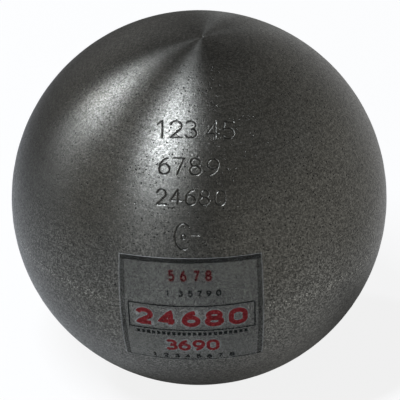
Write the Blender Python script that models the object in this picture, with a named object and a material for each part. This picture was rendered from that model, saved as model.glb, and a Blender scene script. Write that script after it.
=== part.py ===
"""Head of a throwing hammer: a turned iron ball with a lead core and a ball-bearing swivel.

Metres, +Z up. The origin is at the middle of the flat foot ring that the head stands on, and the
turning axis, which is also the swivel axis, is the Z axis. The swivel opens downwards, in a
counterbore inside the foot ring. The marked side of the ball faces -Y.
"""

import math

import bmesh
import bpy
from mathutils import Matrix

# Ball
HEAD_DIAMETER = 0.120
FOOT_RING_WIDTH = 0.0037
SHELL_WALL = 0.0165

# Clearances
FIT_GAP = 0.0003
RUNNING_GAP = 0.00015
END_FLOAT = 0.0003
COLLAR_ROOM = 0.0010
WASHER_BORE_ROOM = 0.0005
CHAMBER_ROOM = 0.0005

# Spindle and its eye
SHAFT_DIAMETER = 0.010
EYE_HOLE_DIAMETER = 0.0075
EYE_WALL = 0.00275
EYE_THICKNESS = 0.007
EYE_TIP_HEIGHT = 0.0012
EYE_EDGE = 0.0012
EYE_NECK = 0.00195
COLLAR_THICKNESS = 0.0023

# Bush, seal, lock ring, set screws and housing
BUSH_WALL = 0.00185
SEAL_THICKNESS = 0.003
LOCK_RING_THICKNESS = 0.004
SPANNER_SLOT_WIDTH = 0.003
SPANNER_SLOT_DEPTH = 0.0015
SET_SCREW_DIAMETER = 0.003
SET_SCREW_SOCKET = 0.0015
HOUSING_END_WALL = 0.006
HOUSING_SIDE_WALL = 0.0027
HOUSING_RIM_ROOM = 0.0005
EDGE_CHAMFER = 0.0004
BORE_CHAMFER = 0.0006

# Lead core and the plate below it
CORE_PLATE_THICKNESS = 0.003
NECK_DIAMETER = 0.020
NECK_LENGTH = 0.005

# Thrust bearing
BALL_DIAMETER = 0.004762
BALL_COUNT = 9
BEARING_SHOULDER = 0.001119
BEARING_WASHER_THICKNESS = 0.0024
RACE_DEPTH = 0.0006
CAGE_FACE_ROOM = 0.000731
CAGE_RIM = 0.0006
CAGE_WEB = 0.0003

# Nut, washer and cotter pin
THRUST_WASHER_WIDTH = 0.005
THRUST_WASHER_THICKNESS = 0.0016
NUT_ACROSS_FLATS = 0.016
NUT_HEIGHT = 0.008
NUT_SLOT_WIDTH = 0.0028
NUT_SLOT_DEPTH = 0.003
NUT_SLOT_COUNT = 3
NUT_CROWN_ANGLE = math.radians(30)
SHAFT_END_ROOM = 0.0008
COTTER_TAIL_LENGTH = 0.0016
COTTER_EYE_BULGE = 0.00042
COTTER_EYE_OPENING = math.radians(130)

# Inspection film on the ball
FILM_WIDTH = 0.0469
FILM_HEIGHT = 0.0410
FILM_THICKNESS = 0.0002
FILM_LONGITUDE = math.radians(-1.7)
FILM_LATITUDE = math.radians(-7.5)
FILM_TILT = math.radians(2.5)

# Facets round the pieces
HEAD_SEGMENTS = 64
CORE_SEGMENTS = 48
RING_SEGMENTS = 40
HOLE_SEGMENTS = 24
SMALL_SEGMENTS = 16
BALL_SEGMENTS = 12
HEXAGON_SIDES = 6

# Steps along curved outlines, and the film's grid
HEAD_OUTLINE_STEPS = 29
DOME_STEPS = 11
GROOVE_STEPS = 6
EYE_RIM_STEPS = 2
COTTER_BEND_STEPS = 4
COTTER_EYE_STEPS = 13
COTTER_WIRE_STEPS = 2
FILM_COLUMNS = 12
FILM_ROWS = 10

# Modelling: how far a cutter runs past what it cuts, which points merge, which edges stay sharp
CUT_MARGIN = 0.002
MERGE_DISTANCE = 0.000001
SHARP_ANGLE = math.radians(32)

# Widths of the bearing, from the shaft and the balls outwards
POCKET_DIAMETER = BALL_DIAMETER + 2 * RUNNING_GAP
BALL_PITCH_DIAMETER = max(
    SHAFT_DIAMETER + BALL_DIAMETER + 2 * BEARING_SHOULDER,
    (POCKET_DIAMETER + CAGE_WEB) / math.sin(math.pi / BALL_COUNT),
)
BEARING_OUTER_DIAMETER = 2 * BALL_PITCH_DIAMETER - SHAFT_DIAMETER
CAGE_INNER_DIAMETER = BALL_PITCH_DIAMETER - POCKET_DIAMETER - 2 * CAGE_RIM
CAGE_OUTER_DIAMETER = BALL_PITCH_DIAMETER + POCKET_DIAMETER + 2 * CAGE_RIM
HOUSING_WASHER_BORE = SHAFT_DIAMETER + 2 * WASHER_BORE_ROOM
SHAFT_WASHER_BORE = SHAFT_DIAMETER + 2 * FIT_GAP
SHAFT_WASHER_DIAMETER = BEARING_OUTER_DIAMETER - 2 * FIT_GAP
WASHER_SPACING = BALL_DIAMETER + 2 * (RUNNING_GAP - RACE_DEPTH)
CAGE_THICKNESS = WASHER_SPACING - 2 * CAGE_FACE_ROOM

# Widths of the cotter pin, which stands out furthest of what turns in the housing
COTTER_HOLE_DIAMETER = NUT_SLOT_WIDTH
COTTER_WIRE_DIAMETER = (COTTER_HOLE_DIAMETER - 4 * RUNNING_GAP) / 2
COTTER_LEG_HEIGHT = COTTER_WIRE_DIAMETER / 2 + RUNNING_GAP
COTTER_EYE_RADIUS = COTTER_LEG_HEIGHT + COTTER_EYE_BULGE
COTTER_BEND_RADIUS = COTTER_WIRE_DIAMETER
COTTER_LEG_END = NUT_ACROSS_FLATS / 2 + FIT_GAP
COTTER_REACH = COTTER_LEG_END + 2 * COTTER_EYE_RADIUS + COTTER_WIRE_DIAMETER / 2

# Widths of the housing and of the bore that it sits in
BEARING_SEAT_DIAMETER = BEARING_OUTER_DIAMETER + 2 * FIT_GAP
CHAMBER_DIAMETER = max(BEARING_SEAT_DIAMETER, 2 * (COTTER_REACH + CHAMBER_ROOM))
HOUSING_DIAMETER = CHAMBER_DIAMETER + 2 * HOUSING_SIDE_WALL
SWIVEL_BORE_DIAMETER = HOUSING_DIAMETER + 2 * FIT_GAP
FOOT_DIAMETER = SWIVEL_BORE_DIAMETER + 2 * FOOT_RING_WIDTH
THRUST_WASHER_DIAMETER = SHAFT_DIAMETER + 2 * THRUST_WASHER_WIDTH

# Widths of the eye, the collar and what surrounds the journal
EYE_WIDTH = EYE_HOLE_DIAMETER + 2 * EYE_WALL
EYE_CENTRE = EYE_TIP_HEIGHT + EYE_WIDTH / 2
COLLAR_DIAMETER = math.hypot(EYE_WIDTH, EYE_THICKNESS) + 2 * FIT_GAP
LOCK_RING_BORE = COLLAR_DIAMETER + 2 * COLLAR_ROOM
SEAL_DIAMETER = LOCK_RING_BORE - 2 * FIT_GAP
JOURNAL_BORE = SHAFT_DIAMETER + 2 * RUNNING_GAP
BUSH_DIAMETER = JOURNAL_BORE + 2 * BUSH_WALL
BUSH_SEAT_DIAMETER = BUSH_DIAMETER + 2 * FIT_GAP

# Heights above the foot ring, from the eye's tip upwards
COLLAR_BASE = EYE_TIP_HEIGHT + EYE_WALL + EYE_HOLE_DIAMETER + EYE_NECK
SEAL_BASE = COLLAR_BASE + COLLAR_THICKNESS + END_FLOAT
HOUSING_BASE = SEAL_BASE + SEAL_THICKNESS + FIT_GAP
LOCK_RING_BASE = HOUSING_BASE - FIT_GAP - LOCK_RING_THICKNESS
HOUSING_WASHER_BASE = HOUSING_BASE + HOUSING_END_WALL + FIT_GAP
LOWER_RACE_FACE = HOUSING_WASHER_BASE + BEARING_WASHER_THICKNESS
BALL_CENTRE = LOWER_RACE_FACE + WASHER_SPACING / 2
SHAFT_WASHER_BASE = LOWER_RACE_FACE + WASHER_SPACING
THRUST_WASHER_BASE = SHAFT_WASHER_BASE + BEARING_WASHER_THICKNESS + FIT_GAP
NUT_BASE = THRUST_WASHER_BASE + THRUST_WASHER_THICKNESS + FIT_GAP
NUT_TOP = NUT_BASE + NUT_HEIGHT
COTTER_HEIGHT = NUT_TOP - NUT_SLOT_DEPTH + COTTER_HOLE_DIAMETER / 2
SHAFT_TOP = NUT_TOP + SHAFT_END_ROOM
COTTER_TOP = COTTER_HEIGHT + COTTER_LEG_HEIGHT + COTTER_BEND_RADIUS + COTTER_TAIL_LENGTH
HOUSING_RIM = max(SHAFT_TOP, COTTER_TOP) + HOUSING_RIM_ROOM
CORE_PLATE_BASE = HOUSING_RIM + FIT_GAP
BORE_END = CORE_PLATE_BASE + CORE_PLATE_THICKNESS + FIT_GAP
CORE_FLOOR = BORE_END + NECK_LENGTH
HEAD_RADIUS = HEAD_DIAMETER / 2
HEAD_CENTRE = math.sqrt(HEAD_RADIUS**2 - (FOOT_DIAMETER / 2) ** 2)

# Finishes: base colour, roughness and metallic value
FINISHES = {
    "turned_iron": ((0.075, 0.075, 0.068), 0.45, 1.0),
    "lead": ((0.16, 0.17, 0.19), 0.60, 1.0),
    "machined_steel": ((0.42, 0.43, 0.44), 0.35, 1.0),
    "black_steel": ((0.03, 0.03, 0.032), 0.50, 1.0),
    "bearing_steel": ((0.58, 0.59, 0.60), 0.18, 1.0),
    "bronze": ((0.50, 0.30, 0.12), 0.35, 1.0),
    "cage_brass": ((0.62, 0.45, 0.16), 0.40, 1.0),
    "seal_rubber": ((0.02, 0.02, 0.02), 0.80, 0.0),
    "film": ((0.20, 0.20, 0.19), 0.35, 0.0),
}


def clear_scene():
    """Removes whatever the scene holds."""
    for thing in list(bpy.data.objects):
        bpy.data.objects.remove(thing, do_unlink=True)


def finish_material(finish):
    """The material of one finish, made the first time that it is asked for."""
    material = bpy.data.materials.get(finish)
    if material:
        return material
    material = bpy.data.materials.new(finish)
    material.use_nodes = True
    shader = material.node_tree.nodes["Principled BSDF"]
    colour, roughness, metallic = FINISHES[finish]
    shader.inputs["Base Color"].default_value = (*colour, 1.0)
    shader.inputs["Roughness"].default_value = roughness
    shader.inputs["Metallic"].default_value = metallic
    material.diffuse_color = (*colour, 1.0)
    material.roughness = roughness
    material.metallic = metallic
    return material


def pivot(name, height):
    """An empty on the turning axis that carries a moving body."""
    empty = bpy.data.objects.new(name, None)
    empty.empty_display_size = SHAFT_DIAMETER
    empty.location = (0.0, 0.0, height)
    bpy.context.scene.collection.objects.link(empty)
    return empty


def add_object(name, mesh, finish=None, location=(0.0, 0.0, 0.0), parent=None):
    """Puts a mesh in the scene; a location is in world coordinates, also under a parent."""
    thing = bpy.data.objects.new(name, mesh)
    if finish:
        mesh.materials.clear()
        mesh.materials.append(finish_material(finish))
    bpy.context.scene.collection.objects.link(thing)
    base = parent.location if parent else (0.0, 0.0, 0.0)
    thing.parent = parent
    thing.location = [place - start for place, start in zip(location, base)]
    return thing


def smooth_mesh(name, shape):
    """Turns a bmesh into a mesh that is smooth but for its sharp edges."""
    mesh = bpy.data.meshes.new(name)
    shape.to_mesh(mesh)
    shape.free()
    mesh.shade_smooth()
    mesh.set_sharp_from_angle(angle=SHARP_ANGLE)
    return mesh


def closed_mesh(name, shape):
    """Turns a closed bmesh into a mesh with its faces out."""
    bmesh.ops.recalc_face_normals(shape, faces=shape.faces)
    return smooth_mesh(name, shape)


def turned_mesh(name, profile, segments):
    """Turns a profile of (radius, height) points round the Z axis, as on a lathe.

    A profile that starts and ends on the axis makes a solid, and any other one is closed into a ring.
    """
    shape = bmesh.new()
    points = [shape.verts.new((radius, 0.0, height)) for radius, height in profile]
    edges = [shape.edges.new(pair) for pair in zip(points, points[1:])]
    if profile[0][0] > 0.0:
        edges.append(shape.edges.new((points[-1], points[0])))
    bmesh.ops.spin(
        shape,
        geom=points + edges,
        cent=(0.0, 0.0, 0.0),
        axis=(0.0, 0.0, 1.0),
        angle=math.tau,
        steps=segments,
        use_merge=True,
    )
    bmesh.ops.remove_doubles(shape, verts=shape.verts, dist=MERGE_DISTANCE)
    return closed_mesh(name, shape)


def box_mesh(name, size, centre=(0.0, 0.0, 0.0)):
    """A plain box."""
    shape = bmesh.new()
    bmesh.ops.create_cube(shape, size=1.0)
    bmesh.ops.scale(shape, vec=size, verts=shape.verts)
    bmesh.ops.translate(shape, vec=centre, verts=shape.verts)
    return closed_mesh(name, shape)


def drill_mesh(name, holes, segments=HOLE_SEGMENTS):
    """Separate round bars; each hole is (diameter, length, matrix), the bar lying along its own Z."""
    shape = bmesh.new()
    for diameter, length, matrix in holes:
        bmesh.ops.create_cone(
            shape,
            cap_ends=True,
            segments=segments,
            radius1=diameter / 2,
            radius2=diameter / 2,
            depth=length,
            matrix=matrix,
        )
    return closed_mesh(name, shape)


def arc(centre, radius, start, end, count):
    """Points on an arc in the (radius, height) plane, with both ends; angles from the outward axis."""
    return [
        (
            centre[0] + radius * math.cos(start + (end - start) * step / count),
            centre[1] + radius * math.sin(start + (end - start) * step / count),
        )
        for step in range(count + 1)
    ]


def ring_profile(inner, outer, height, chamfer=0.0):
    """The profile of a plain ring from its base at 0 up to its height, with chamfered outer edges."""
    if chamfer == 0.0:
        return [(inner / 2, 0.0), (outer / 2, 0.0), (outer / 2, height), (inner / 2, height)]
    return [
        (inner / 2, 0.0),
        (outer / 2 - chamfer, 0.0),
        (outer / 2, chamfer),
        (outer / 2, height - chamfer),
        (outer / 2 - chamfer, height),
        (inner / 2, height),
    ]


def helper(name, mesh, location=(0.0, 0.0, 0.0), parent=None):
    """A shape that only cuts or joins others, and isn't a piece of the head."""
    thing = add_object(name, mesh, location=location, parent=parent)
    thing.hide_render = True
    thing.display_type = "WIRE"
    return thing


def combine(target, operation, tool):
    """Cuts the tool from the target, joins it on or keeps only what both share."""
    modifier = target.modifiers.new(tool.name, "BOOLEAN")
    modifier.operation = operation
    modifier.solver = "EXACT"
    modifier.object = tool
    return modifier


def lead_profile(clearance):
    """Neck, flat floor and dome of the lead core; the clearance shrinks it inside its cavity."""
    dome_radius = HEAD_RADIUS - SHELL_WALL - clearance
    floor = CORE_FLOOR + clearance
    start = math.asin((floor - HEAD_CENTRE) / dome_radius)
    neck = NECK_DIAMETER / 2 - clearance
    dome = arc((0.0, HEAD_CENTRE), dome_radius, start, math.pi / 2, DOME_STEPS)
    dome[-1] = (0.0, HEAD_CENTRE + dome_radius)
    return [(0.0, BORE_END), (neck, BORE_END), (neck, floor), *dome]


def make_head_shell():
    """The ball: foot ring, swivel bore and lead cavity are cut from one turned iron sphere."""
    foot_angle = -math.acos(FOOT_DIAMETER / HEAD_DIAMETER)
    outline = arc((0.0, HEAD_CENTRE), HEAD_RADIUS, foot_angle, math.pi / 2, HEAD_OUTLINE_STEPS)
    outline[0] = (FOOT_DIAMETER / 2, 0.0)
    outline[-1] = (0.0, HEAD_CENTRE + HEAD_RADIUS)
    mesh = turned_mesh("head_shell", [(0.0, 0.0), *outline], HEAD_SEGMENTS)
    shell = add_object("head_shell", mesh, "turned_iron")
    bore_radius = SWIVEL_BORE_DIAMETER / 2
    mouth = bore_radius + BORE_CHAMFER
    bore = [
        (0.0, -CUT_MARGIN),
        (mouth, -CUT_MARGIN),
        (mouth, 0.0),
        (bore_radius, BORE_CHAMFER),
        (bore_radius, BORE_END),
        (0.0, BORE_END),
    ]
    bore_tool = helper("swivel_bore_tool", turned_mesh("swivel_bore_tool", bore, RING_SEGMENTS))
    combine(shell, "DIFFERENCE", bore_tool)
    cavity = lead_profile(0.0)
    cavity[0] = (0.0, BORE_END - CUT_MARGIN)
    cavity[1] = (NECK_DIAMETER / 2, BORE_END - CUT_MARGIN)
    cavity_tool = helper("lead_cavity_tool", turned_mesh("lead_cavity_tool", cavity, CORE_SEGMENTS))
    combine(shell, "DIFFERENCE", cavity_tool)
    return shell


def make_lead_core():
    """Lead cast through the neck into the cavity of the shell."""
    mesh = turned_mesh("lead_core", lead_profile(FIT_GAP), CORE_SEGMENTS)
    add_object("lead_core", mesh, "lead")


def make_core_plate():
    """Steel disc on the shoulder of the bore, which keeps the lead away from the bearing."""
    disc = ring_profile(0.0, HOUSING_DIAMETER, CORE_PLATE_THICKNESS, EDGE_CHAMFER)
    mesh = turned_mesh("core_plate", disc, RING_SEGMENTS)
    add_object("core_plate", mesh, "machined_steel", (0.0, 0.0, CORE_PLATE_BASE))


def make_swivel_housing():
    """Steel cup screwed into the bore, with the bush in its end wall and the bearing inside."""
    seat = BEARING_SEAT_DIAMETER / 2
    chamber = CHAMBER_DIAMETER / 2
    outer = HOUSING_DIAMETER / 2
    height = HOUSING_RIM - HOUSING_BASE
    step = THRUST_WASHER_BASE - HOUSING_BASE
    profile = [
        (BUSH_SEAT_DIAMETER / 2, 0.0),
        (outer - EDGE_CHAMFER, 0.0),
        (outer, EDGE_CHAMFER),
        (outer, height - EDGE_CHAMFER),
        (outer - EDGE_CHAMFER, height),
        (chamber + EDGE_CHAMFER, height),
        (chamber, height - EDGE_CHAMFER),
    ]
    if chamber > seat:
        profile += [(chamber, step), (seat, step)]
    profile += [(seat, HOUSING_END_WALL), (BUSH_SEAT_DIAMETER / 2, HOUSING_END_WALL)]
    mesh = turned_mesh("swivel_housing", profile, RING_SEGMENTS)
    add_object("swivel_housing", mesh, "machined_steel", (0.0, 0.0, HOUSING_BASE))


def set_screw_places():
    """World positions of the two set screws, in the middle of the lock ring's width."""
    radius = (LOCK_RING_BORE + HOUSING_DIAMETER) / 4
    return [(0.0, side * radius, LOCK_RING_BASE) for side in (-1, 1)]


def make_lock_ring():
    """Jam ring under the housing, with two spanner slots and two holes for the set screws."""
    profile = ring_profile(LOCK_RING_BORE, HOUSING_DIAMETER, LOCK_RING_THICKNESS, EDGE_CHAMFER)
    mesh = turned_mesh("lock_ring", profile, RING_SEGMENTS)
    base = (0.0, 0.0, LOCK_RING_BASE)
    ring = add_object("lock_ring", mesh, "black_steel", base)
    length = HOUSING_DIAMETER + 2 * CUT_MARGIN
    depth = SPANNER_SLOT_DEPTH + CUT_MARGIN
    middle = (0.0, 0.0, SPANNER_SLOT_DEPTH - depth / 2)
    slot = box_mesh("spanner_slot_tool", (length, SPANNER_SLOT_WIDTH, depth), middle)
    combine(ring, "DIFFERENCE", helper("spanner_slot_tool", slot, base))
    diameter = SET_SCREW_DIAMETER + 2 * FIT_GAP
    drill_length = LOCK_RING_THICKNESS + 2 * CUT_MARGIN
    holes = [
        (diameter, drill_length, Matrix.Translation((x, y, LOCK_RING_THICKNESS / 2)))
        for x, y, _ in set_screw_places()
    ]
    drills = drill_mesh("set_screw_hole_tool", holes, SMALL_SEGMENTS)
    combine(ring, "DIFFERENCE", helper("set_screw_hole_tool", drills, base))


def make_set_screws():
    """Headless screws with a hexagon socket, which jam the lock ring against the housing."""
    length = LOCK_RING_THICKNESS - FIT_GAP
    radius = SET_SCREW_DIAMETER / 2
    point = radius / 2
    profile = [(0.0, 0.0), (radius, 0.0), (radius, length - point), (point, length), (0.0, length)]
    mesh = turned_mesh("set_screw", profile, SMALL_SEGMENTS)
    hole = (SET_SCREW_SOCKET, 2 * SET_SCREW_SOCKET, Matrix.Identity(4))
    socket = drill_mesh("hexagon_socket_tool", [hole], HEXAGON_SIDES)
    for number, (x, y, height) in enumerate(set_screw_places(), 1):
        place = (x, y, height + FIT_GAP)
        screw = add_object(f"set_screw_{number}", mesh, "black_steel", place)
        combine(screw, "DIFFERENCE", helper(f"hexagon_socket_tool_{number}", socket, place))


def make_guide_bush():
    """Bronze bush in the housing's end wall, in which the spindle's journal turns."""
    profile = ring_profile(JOURNAL_BORE, BUSH_DIAMETER, HOUSING_END_WALL)
    mesh = turned_mesh("guide_bush", profile, RING_SEGMENTS)
    add_object("guide_bush", mesh, "bronze", (0.0, 0.0, HOUSING_BASE))


def make_dust_seal():
    """Rubber ring inside the lock ring, round the spindle, which keeps dirt out of the bush."""
    profile = ring_profile(JOURNAL_BORE, SEAL_DIAMETER, SEAL_THICKNESS)
    mesh = turned_mesh("dust_seal", profile, RING_SEGMENTS)
    add_object("dust_seal", mesh, "seal_rubber", (0.0, 0.0, SEAL_BASE))


def race_washer_mesh(name, bore, outer):
    """Flat bearing washer with the ball groove in its top face."""
    groove_radius = BALL_DIAMETER / 2 + RUNNING_GAP
    spread = math.acos((groove_radius - RACE_DEPTH) / groove_radius)
    centre = (BALL_PITCH_DIAMETER / 2, BEARING_WASHER_THICKNESS - RACE_DEPTH + groove_radius)
    groove = arc(centre, groove_radius, spread - math.pi / 2, -spread - math.pi / 2, GROOVE_STEPS)
    profile = [
        (bore / 2, 0.0),
        (outer / 2, 0.0),
        (outer / 2, BEARING_WASHER_THICKNESS),
        *groove,
        (bore / 2, BEARING_WASHER_THICKNESS),
    ]
    return turned_mesh(name, profile, RING_SEGMENTS)


def make_bearing(spindle, cage):
    """Single thrust bearing: housing washer, caged balls and shaft washer."""
    lower = race_washer_mesh("housing_washer", HOUSING_WASHER_BORE, BEARING_OUTER_DIAMETER)
    add_object("housing_washer", lower, "bearing_steel", (0.0, 0.0, HOUSING_WASHER_BASE))
    upper = race_washer_mesh("shaft_washer", SHAFT_WASHER_BORE, SHAFT_WASHER_DIAMETER)
    upper.transform(Matrix.Rotation(math.pi, 4, "X"))
    top = (0.0, 0.0, SHAFT_WASHER_BASE + BEARING_WASHER_THICKNESS)
    add_object("shaft_washer", upper, "bearing_steel", top, spindle)
    profile = ring_profile(CAGE_INNER_DIAMETER, CAGE_OUTER_DIAMETER, CAGE_THICKNESS)
    cage_base = (0.0, 0.0, BALL_CENTRE - CAGE_THICKNESS / 2)
    cage_ring = turned_mesh("ball_cage", profile, RING_SEGMENTS)
    ring = add_object("ball_cage", cage_ring, "cage_brass", cage_base, cage)
    turns = [Matrix.Rotation(math.tau * step / BALL_COUNT, 4, "Z") for step in range(BALL_COUNT)]
    seat = Matrix.Translation((BALL_PITCH_DIAMETER / 2, 0.0, CAGE_THICKNESS / 2))
    drill_length = CAGE_THICKNESS + 2 * CUT_MARGIN
    holes = [(POCKET_DIAMETER, drill_length, turn @ seat) for turn in turns]
    pockets = drill_mesh("ball_pocket_tool", holes, SMALL_SEGMENTS)
    combine(ring, "DIFFERENCE", helper("ball_pocket_tool", pockets, cage_base, cage))
    ball = turned_mesh("ball", ball_profile(), BALL_SEGMENTS)
    for number, turn in enumerate(turns, 1):
        x, y, _ = turn @ seat.to_translation()
        add_object(f"ball_{number:02d}", ball, "bearing_steel", (x, y, BALL_CENTRE), cage)


def ball_profile():
    """Half circle from the bottom to the top of one bearing ball."""
    half = arc((0.0, 0.0), BALL_DIAMETER / 2, -math.pi / 2, math.pi / 2, BALL_SEGMENTS // 2)
    half[0] = (0.0, -BALL_DIAMETER / 2)
    half[-1] = (0.0, BALL_DIAMETER / 2)
    return half


def is_eye_rim(edge):
    """Whether an edge lies along the front or the back of the eye, below the collar."""
    start, end = (point.co for point in edge.verts)
    return start.y == end.y and min(start.z, end.z) < COLLAR_BASE


def eye_mesh():
    """Flat eye in the XZ plane, round at its tip and with rounded rims; its top lies in the collar."""
    radius = EYE_WIDTH / 2
    top = COLLAR_BASE + COLLAR_THICKNESS / 2
    outline = arc((0.0, EYE_CENTRE), radius, math.pi, math.tau, HOLE_SEGMENTS // 2)
    outline += [(radius, top), (-radius, top)]
    shape = bmesh.new()
    points = [shape.verts.new((x, -EYE_THICKNESS / 2, height)) for x, height in outline]
    front = shape.faces.new(points)
    pushed = bmesh.ops.extrude_face_region(shape, geom=[front])["geom"]
    back = [part for part in pushed if isinstance(part, bmesh.types.BMVert)]
    bmesh.ops.translate(shape, vec=(0.0, EYE_THICKNESS, 0.0), verts=back)
    rims = [edge for edge in shape.edges if is_eye_rim(edge)]
    bmesh.ops.bevel(shape, geom=rims, offset=EYE_EDGE, segments=EYE_RIM_STEPS, profile=0.5, affect="EDGES")
    return closed_mesh("spindle_eye_tool", shape)


def make_spindle(spindle):
    """Forged spindle: eye, collar, journal and threaded end in one piece."""
    shaft = SHAFT_DIAMETER / 2
    collar = COLLAR_DIAMETER / 2
    length = SHAFT_TOP - COLLAR_BASE
    profile = [
        (0.0, 0.0),
        (collar - EDGE_CHAMFER, 0.0),
        (collar, EDGE_CHAMFER),
        (collar, COLLAR_THICKNESS),
        (shaft, COLLAR_THICKNESS),
        (shaft, length - EDGE_CHAMFER),
        (shaft - EDGE_CHAMFER, length),
        (0.0, length),
    ]
    mesh = turned_mesh("spindle", profile, RING_SEGMENTS)
    body = add_object("spindle", mesh, "machined_steel", (0.0, 0.0, COLLAR_BASE), spindle)
    combine(body, "UNION", helper("spindle_eye_tool", eye_mesh(), parent=spindle))
    quarter = Matrix.Rotation(math.pi / 2, 4, "X")
    hole = (EYE_HOLE_DIAMETER, EYE_THICKNESS + 2 * CUT_MARGIN, quarter)
    place = (0.0, 0.0, EYE_CENTRE)
    drill = helper("eye_hole_tool", drill_mesh("eye_hole_tool", [hole]), place, spindle)
    combine(body, "DIFFERENCE", drill)
    across = Matrix.Rotation(math.pi / 2, 4, "Y")
    hole = (COTTER_HOLE_DIAMETER, SHAFT_DIAMETER + 2 * CUT_MARGIN, across)
    place = (0.0, 0.0, COTTER_HEIGHT)
    drill = helper("cotter_hole_tool", drill_mesh("cotter_hole_tool", [hole]), place, spindle)
    combine(body, "DIFFERENCE", drill)


def make_thrust_washer(spindle):
    """Flat washer between the bearing and the nut."""
    bore = SHAFT_DIAMETER + 2 * FIT_GAP
    profile = ring_profile(bore, THRUST_WASHER_DIAMETER, THRUST_WASHER_THICKNESS)
    mesh = turned_mesh("thrust_washer", profile, RING_SEGMENTS)
    add_object("thrust_washer", mesh, "machined_steel", (0.0, 0.0, THRUST_WASHER_BASE), spindle)


def make_castle_nut(spindle):
    """Hexagon nut with a slot across each pair of flats for the cotter pin."""
    flat = NUT_ACROSS_FLATS / 2
    corner = flat / math.cos(math.pi / HEXAGON_SIDES)
    middle = Matrix.Translation((0.0, 0.0, NUT_HEIGHT / 2))
    hexagon = drill_mesh("castle_nut", [(2 * corner, NUT_HEIGHT, middle)], HEXAGON_SIDES)
    base = (0.0, 0.0, NUT_BASE)
    nut = add_object("castle_nut", hexagon, "black_steel", base, spindle)
    bore = SHAFT_DIAMETER / 2 + FIT_GAP
    rim = corner + CUT_MARGIN
    shoulder = NUT_HEIGHT - (rim - flat) * math.tan(NUT_CROWN_ANGLE)
    crown = [
        (bore, -CUT_MARGIN),
        (rim, -CUT_MARGIN),
        (rim, shoulder),
        (flat, NUT_HEIGHT),
        (bore, NUT_HEIGHT),
    ]
    crown_tool = turned_mesh("nut_crown_tool", crown, RING_SEGMENTS)
    combine(nut, "INTERSECT", helper("nut_crown_tool", crown_tool, base, spindle))
    depth = NUT_SLOT_DEPTH + CUT_MARGIN
    middle = (0.0, 0.0, NUT_HEIGHT - NUT_SLOT_DEPTH + depth / 2)
    size = (NUT_ACROSS_FLATS + 2 * CUT_MARGIN, NUT_SLOT_WIDTH, depth)
    for number in range(NUT_SLOT_COUNT):
        slot = box_mesh(f"nut_slot_tool_{number}", size, middle)
        slot.transform(Matrix.Rotation(number * math.pi / NUT_SLOT_COUNT, 4, "Z"))
        combine(nut, "DIFFERENCE", helper(f"nut_slot_tool_{number}", slot, base, spindle))


def cotter_route():
    """Middle line of the cotter pin's wire, from one bent tail round the eye to the other tail."""
    leg = COTTER_LEG_HEIGHT
    bend = COTTER_BEND_RADIUS
    tail = (-COTTER_LEG_END - bend, leg + bend + COTTER_TAIL_LENGTH)
    upper_bend = arc((-COTTER_LEG_END, leg + bend), bend, math.pi, math.pi * 3 / 2, COTTER_BEND_STEPS)
    upper = [tail, *upper_bend, (0.0, leg), (COTTER_LEG_END, leg)]
    lower = [(x, -height) for x, height in reversed(upper)]
    centre = (COTTER_LEG_END + COTTER_EYE_RADIUS, 0.0)
    eye = arc(centre, COTTER_EYE_RADIUS, COTTER_EYE_OPENING, -COTTER_EYE_OPENING, COTTER_EYE_STEPS)
    return upper + eye + lower


def make_cotter_pin(spindle):
    """Split pin: one wire doubled back on itself, with an eye and two tails bent apart."""
    curve = bpy.data.curves.new("cotter_pin", "CURVE")
    curve.dimensions = "3D"
    curve.bevel_depth = COTTER_WIRE_DIAMETER / 2
    curve.bevel_resolution = COTTER_WIRE_STEPS
    curve.use_fill_caps = True
    route = cotter_route()
    wire = curve.splines.new("POLY")
    wire.points.add(len(route) - 1)
    for point, (x, height) in zip(wire.points, route):
        point.co = (x, 0.0, height, 1.0)
    add_object("cotter_pin", curve, "bearing_steel", (0.0, 0.0, COTTER_HEIGHT), spindle)


def film_point(across, up, radius):
    """Point over the ball that lies so far to the right of and above the tilted film's middle."""
    right = across * math.cos(FILM_TILT) - up * math.sin(FILM_TILT)
    rise = across * math.sin(FILM_TILT) + up * math.cos(FILM_TILT)
    latitude = FILM_LATITUDE + rise / HEAD_RADIUS
    longitude = FILM_LONGITUDE + right / (HEAD_RADIUS * math.sqrt(math.cos(latitude)))
    return (
        radius * math.cos(latitude) * math.sin(longitude),
        -radius * math.cos(latitude) * math.cos(longitude),
        radius * math.sin(latitude),
    )


def make_inspection_film():
    """Thin printed film stuck on the front of the ball, a little below the middle."""
    shape = bmesh.new()
    bmesh.ops.create_grid(shape, x_segments=FILM_COLUMNS, y_segments=FILM_ROWS, size=0.5)
    for point in shape.verts:
        across = FILM_WIDTH * point.co.x
        up = FILM_HEIGHT * point.co.y
        point.co = film_point(across, up, HEAD_RADIUS + FIT_GAP)
    mesh = smooth_mesh("inspection_film", shape)
    film = add_object("inspection_film", mesh, "film", (0.0, 0.0, HEAD_CENTRE))
    thickness = film.modifiers.new("film_thickness", "SOLIDIFY")
    thickness.thickness = FILM_THICKNESS
    thickness.offset = 1.0


def main():
    clear_scene()
    spindle = pivot("spindle_axis", LOCK_RING_BASE)
    cage = pivot("cage_axis", BALL_CENTRE)
    make_head_shell()
    make_lead_core()
    make_core_plate()
    make_swivel_housing()
    make_lock_ring()
    make_set_screws()
    make_guide_bush()
    make_dust_seal()
    make_bearing(spindle, cage)
    make_spindle(spindle)
    make_thrust_washer(spindle)
    make_castle_nut(spindle)
    make_cotter_pin(spindle)
    make_inspection_film()


main()
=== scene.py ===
"""Looks of a throwing hammer's head: a turned iron ball with stamped numbers and a printed film.

Metres, +Z up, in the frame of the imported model, whose turning axis is the Z axis. The marked side
of the ball faces -Y. Laid out as an add-on: an operator for each group of pieces and for the stage.
"""

import math

import bpy
import numpy as np
from bpy.props import FloatProperty, FloatVectorProperty, PointerProperty
from mathutils import Matrix, Vector


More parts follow.
